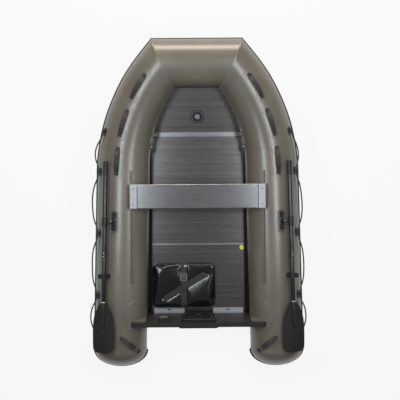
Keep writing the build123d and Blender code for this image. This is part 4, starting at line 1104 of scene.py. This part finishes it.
def valve_trim():
    """Grey sealing lip on the valve's ring, and the dished face and the grip of its cap."""
    lip = sized(torus("lip", (0.0415, 0.0017), (96, 12)), (1, 1, 0.7))
    face = cylinder("face", 0.0190, 0.0016, 64, (0, 0, 0.0007))
    with shaping(face, top_face):
        inset(0.0040, -0.0010)
        inset(0.0035, 0.0010)
    rounded(face, 0.0004, angle=25)
    grip_place = Matrix.Rotation(0.7, 4, "Z") @ at(0, 0, 0.0018)
    grip = rounded(cube("grip", (0.0230, 0.0042, 0.0026), grip_place), 0.0009, 3, 30)
    return smooth(joined("keel_valve_trim", [lip, face, grip]))


trim = valve_trim()
trim.data.transform(valve_face)
dress(trim, panel_plastic)


# ---------------------------------------------------------------- battery bag and its webbing
bag_low, bag_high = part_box("battery_bag")
bag_middle = (bag_low + bag_high) / 2
bag_size = bag_high - bag_low
web_width = 0.042
web_x = bag_middle.x + 0.0007
diagonal_middle = Vector((bag_middle.x + 0.0117, bag_middle.y - 0.004, 0))
diagonal_turn = math.radians(31.0)
diagonal_along = Vector((math.cos(diagonal_turn), math.sin(diagonal_turn), 0))
diagonal_half = 0.175


def off_strap(place):
    """Distance from the nearer strap's middle line, for a point on the bag's top."""
    from_middle = Vector((place.x, place.y, 0)) - diagonal_middle
    reach = max(-diagonal_half, min(diagonal_half, from_middle.dot(diagonal_along)))
    return min(abs(place.x - web_x), (from_middle - diagonal_along * reach).length)


def blow_up(bag, most):
    """Cloth simulation that fills the bag with air; no point moves further than most."""
    rest = [vertex.co.copy() for vertex in bag.data.vertices]
    cloth = bag.modifiers.new("Cloth", "CLOTH")
    cloth.settings.quality = 6
    cloth.settings.mass = 0.3
    cloth.settings.tension_stiffness = 12
    cloth.settings.bending_stiffness = 0.4
    cloth.settings.vertex_group_mass = "held"
    cloth.settings.use_pressure = True
    cloth.settings.uniform_pressure_force = 4.0
    cloth.settings.effector_weights.gravity = 0
    cloth.collision_settings.use_collision = False
    for step in range(1, 21):
        bpy.context.scene.frame_set(step)
    alone(bag)
    bpy.ops.object.modifier_apply(modifier=cloth.name)
    for vertex, start in zip(bag.data.vertices, rest):
        move = vertex.co - start
        if move.length > most:
            vertex.co = start + move.normalized() * most
        vertex.co.z = max(vertex.co.z, bag_low.z)
    bpy.context.scene.frame_set(1)


def stuffed_bag():
    """Box of coated cloth, blown up by its stuffing and drawn in under its straps."""
    size = bag_size - Vector((0.006, 0.006, 0.008))
    bag = cube("battery_bag_cover", size, Matrix.Translation(bag_middle - Vector((0, 0, 0.004))))
    with shaping(bag, lambda _, edge: span(edge, 2) > 0.01, "EDGE"):
        bpy.ops.mesh.bevel(offset=0.026, segments=6)
    with shaping(bag, lambda middle, edge: middle.z > bag_middle.z and span(edge, 2) < 0.001, "EDGE"):
        bpy.ops.mesh.bevel(offset=0.014, segments=3)
    applied(bag, "REMESH", mode="VOXEL", voxel_size=0.006)
    held = bag.vertex_groups.new(name="held")
    for vertex in bag.data.vertices:
        if vertex.co.z < bag_low.z + 0.006:
            held.add([vertex.index], 1.0, "REPLACE")
        elif vertex.co.z > bag_middle.z and off_strap(vertex.co) < 0.020:
            vertex.co.z -= 0.007
            held.add([vertex.index], 0.9, "REPLACE")
    blow_up(bag, 0.014)
    applied(bag, "SMOOTH", factor=0.5, iterations=9)
    return smooth(divided(bag), 80)


def top_of(pieces, x, y):
    """Height of the highest of the pieces at x, y."""
    heights = [floor_top]
    for piece in pieces:
        hit, place, _, _ = piece.ray_cast(Vector((x, y, 1.0)), Vector((0, 0, -1)))
        if hit:
            heights.append(place.z)
    return max(heights)


def laid_strap(name, ends, width, thickness, under, steps):
    """Flat webbing between its two ends, lying on what is under it."""
    bpy.context.view_layer.update()
    start, end = Vector(ends[0]), Vector(ends[1])
    along = (end - start).normalized()
    across = Vector((-along.y, along.x, 0))
    turn = Matrix.Rotation(math.atan2(along.y, along.x) - math.pi / 2, 4, "Z")
    strip = grid(name, 4, steps, width, (end - start).length, Matrix.Translation((start + end) / 2) @ turn)
    rows = {}
    for vertex in strip.data.vertices:
        rows.setdefault(round((vertex.co - start).dot(along), 5), []).append(vertex)
    for reach, row in rows.items():
        middle = start + along * reach
        places = [middle + across * side * width / 2 for side in (-1, -0.5, 0, 0.5, 1)]
        height = max(top_of(under, place.x, place.y) for place in places)
        for vertex in row:
            vertex.co.z = height + 0.0008
    evened(strip, 4)
    thickened(strip, thickness)
    divided(strip, kind="SIMPLE")
    return smooth(rounded(strip, thickness * 0.35, angle=60), 60)


def ladder_buckle():
    """Three-bar slider: a rounded frame over the webbing, with two bars across."""
    buckle_frame = plane("buckle", 0.052, 0.056)
    with shaping(buckle_frame, everything, "VERT"):
        bpy.ops.mesh.bevel(offset=0.010, segments=4, affect="VERTICES")
    with shaping(buckle_frame, everything):
        inset(0.006)
        bpy.ops.mesh.delete(type="FACE")
    parts = [thickened(buckle_frame, 0.0042, 0.0)]
    for y, radius in ((-0.007, 0.0026), (0.009, 0.0032)):
        parts.append(cylinder("bar", radius, 0.044, 20, (0, y, 0.0006), rotation=(0, math.pi / 2, 0)))
    return smooth(rounded(joined("bag_buckle", parts), 0.0010))


def strap_end_clip():
    """Folded metal tip that closes the strap's end."""
    clip = cube("strap_end_clip", (0.020, 0.014, 0.0040))
    with shaping(clip, top_face):
        inset(0.003)
        extrude(0, 0, -0.0008)
    return smooth(rounded(clip, 0.0010, 3))


def bag_piping():
    """Welted seam around the bag's upper edge."""
    middle = at(bag_middle.x, bag_middle.y, bag_high.z - 0.016)
    welt = plane("bag_piping", bag_size.x, bag_size.y, middle)
    with shaping(welt, everything, "VERT"):
        bpy.ops.mesh.bevel(offset=0.028, segments=8, affect="VERTICES")
    with shaping(welt, lambda _, edge: edge.calc_length() > 0.05, "EDGE"):
        bpy.ops.mesh.subdivide(number_cuts=40)
    with shaping(welt, everything):
        bpy.ops.mesh.delete(type="ONLY_FACE")
    laid_on(welt, bag, 0.0006)
    alone(welt)
    bpy.ops.object.convert(target="CURVE")
    welt = bpy.context.object
    welt.data.bevel_depth = 0.0022
    welt.data.bevel_resolution = 3
    bpy.ops.object.convert(target="MESH")
    return smooth(bpy.context.object, 60)


bag = stuffed_bag()
dress(bag, vinyl, replaces=["battery_bag"])

web_ends = [(web_x, bag_low.y - 0.004, 0), (web_x, bag_high.y + 0.004, 0)]
long_strap = laid_strap("bag_long_strap", web_ends, web_width, 0.0026, [bag], 60)
diagonal_ends = [diagonal_middle + diagonal_along * reach for reach in (-diagonal_half, diagonal_half)]
diagonal_strap = laid_strap("bag_diagonal_strap", diagonal_ends, web_width, 0.0028, [bag, long_strap], 50)
dress(long_strap, webbing, replaces=["bag_straps"])
dress(diagonal_strap, webbing)

webbed_bag = [bag, long_strap]
buckle_y = bag_high.y - 0.100
buckle = ladder_buckle()
buckle_z = top_of(webbed_bag, web_x, buckle_y) + 0.0034
buckle.data.transform(at(web_x - 0.002, buckle_y, buckle_z))
dress(buckle, buckle_plastic)

end_clip = strap_end_clip()
end_clip_y = bag_high.y - 0.018
end_clip_z = top_of(webbed_bag, web_x + 0.010, end_clip_y) + 0.0030
end_clip_place = at(web_x + 0.014, end_clip_y, end_clip_z)
end_clip.data.transform(end_clip_place @ Matrix.Rotation(0.35, 4, "Z"))
dress(end_clip, steel)
tip_ends = [(web_x + 0.009, end_clip_y - 0.050, 0), (web_x + 0.013, end_clip_y - 0.006, 0)]
dress(laid_strap("strap_tip", tip_ends, 0.022, 0.0020, webbed_bag, 12), webbing)
fold_ends = [diagonal_middle + diagonal_along * (diagonal_half - back) for back in (0.034, 0.002)]
fold = laid_strap("strap_fold", fold_ends, 0.0415, 0.0022, [bag, long_strap, diagonal_strap], 10)
dress(fold, webbing)
dress(bag_piping(), vinyl)


# ---------------------------------------------------------------- studio
def lamp(name, place, target, size, power, colour):
    data = bpy.data.lights.new(name, "AREA")
    data.shape = "RECTANGLE"
    data.size, data.size_y = size
    data.energy = power
    data.color = colour
    light = bpy.data.objects.new(name, data)
    light.location = place
    light.rotation_euler = (Vector(target) - Vector(place)).to_track_quat("-Z", "Y").to_euler()
    bpy.context.scene.collection.objects.link(light)


cool, warm = (0.87, 0.94, 1.0), (1.0, 0.88, 0.76)
lamp("port_strip_light", (-1.0, 0.4, 2.6), (-0.35, 0.3, 0.3), (1.7, 0.42), 31, cool)
lamp("starboard_strip_light", (1.0, 0.4, 2.6), (0.35, 0.3, 0.3), (1.7, 0.42), 30, cool)
lamp("bow_softbox", (0, 3.2, 1.2), (0, 1.0, 0.45), (3.4, 0.8), 95, warm)

world = bpy.data.worlds.new("studio")
bpy.context.scene.world = world
world.use_nodes = True
world.node_tree.nodes["Background"].inputs["Color"].default_value = (1.0, 0.95, 0.90, 1)
world.node_tree.nodes["Background"].inputs["Strength"].default_value = 0.27


def studio_floor_paint():
    """Pale floor: the camera, gloss and glass see it near white, and it still takes the shadow."""
    paint = bpy.data.materials.new("studio_floor")
    paint.use_nodes = True
    tree = paint.node_tree
    link = tree.links.new
    matt = tree.nodes["Principled BSDF"]
    matt.inputs["Base Color"].default_value = (0.42, 0.42, 0.42, 1)
    matt.inputs["Roughness"].default_value = 0.9
    glow = node(tree, "ShaderNodeEmission", Color=(1, 1, 1, 1), Strength=1.0)
    rays = tree.nodes.new("ShaderNodeLightPath").outputs
    seen = reckoned(tree, "ADD", rays["Is Camera Ray"], rays["Is Glossy Ray"])
    seen = reckoned(tree, "ADD", seen, rays["Is Transmission Ray"], clamp=True)
    blend = tree.nodes.new("ShaderNodeMixShader")
    link(reckoned(tree, "MULTIPLY", seen, 0.90), blend.inputs["Fac"])
    link(matt.outputs["BSDF"], blend.inputs[1])
    link(glow.outputs["Emission"], blend.inputs[2])
    link(blend.outputs[0], tree.nodes["Material Output"].inputs["Surface"])
    return paint


floor = primitive("studio_floor", bpy.ops.mesh.primitive_plane_add, size=14, location=(0, 0, -0.0005))
floor.data.materials.append(studio_floor_paint())

bpy.data.objects.remove(hull)
bpy.context.scene.view_settings.view_transform = "Standard"
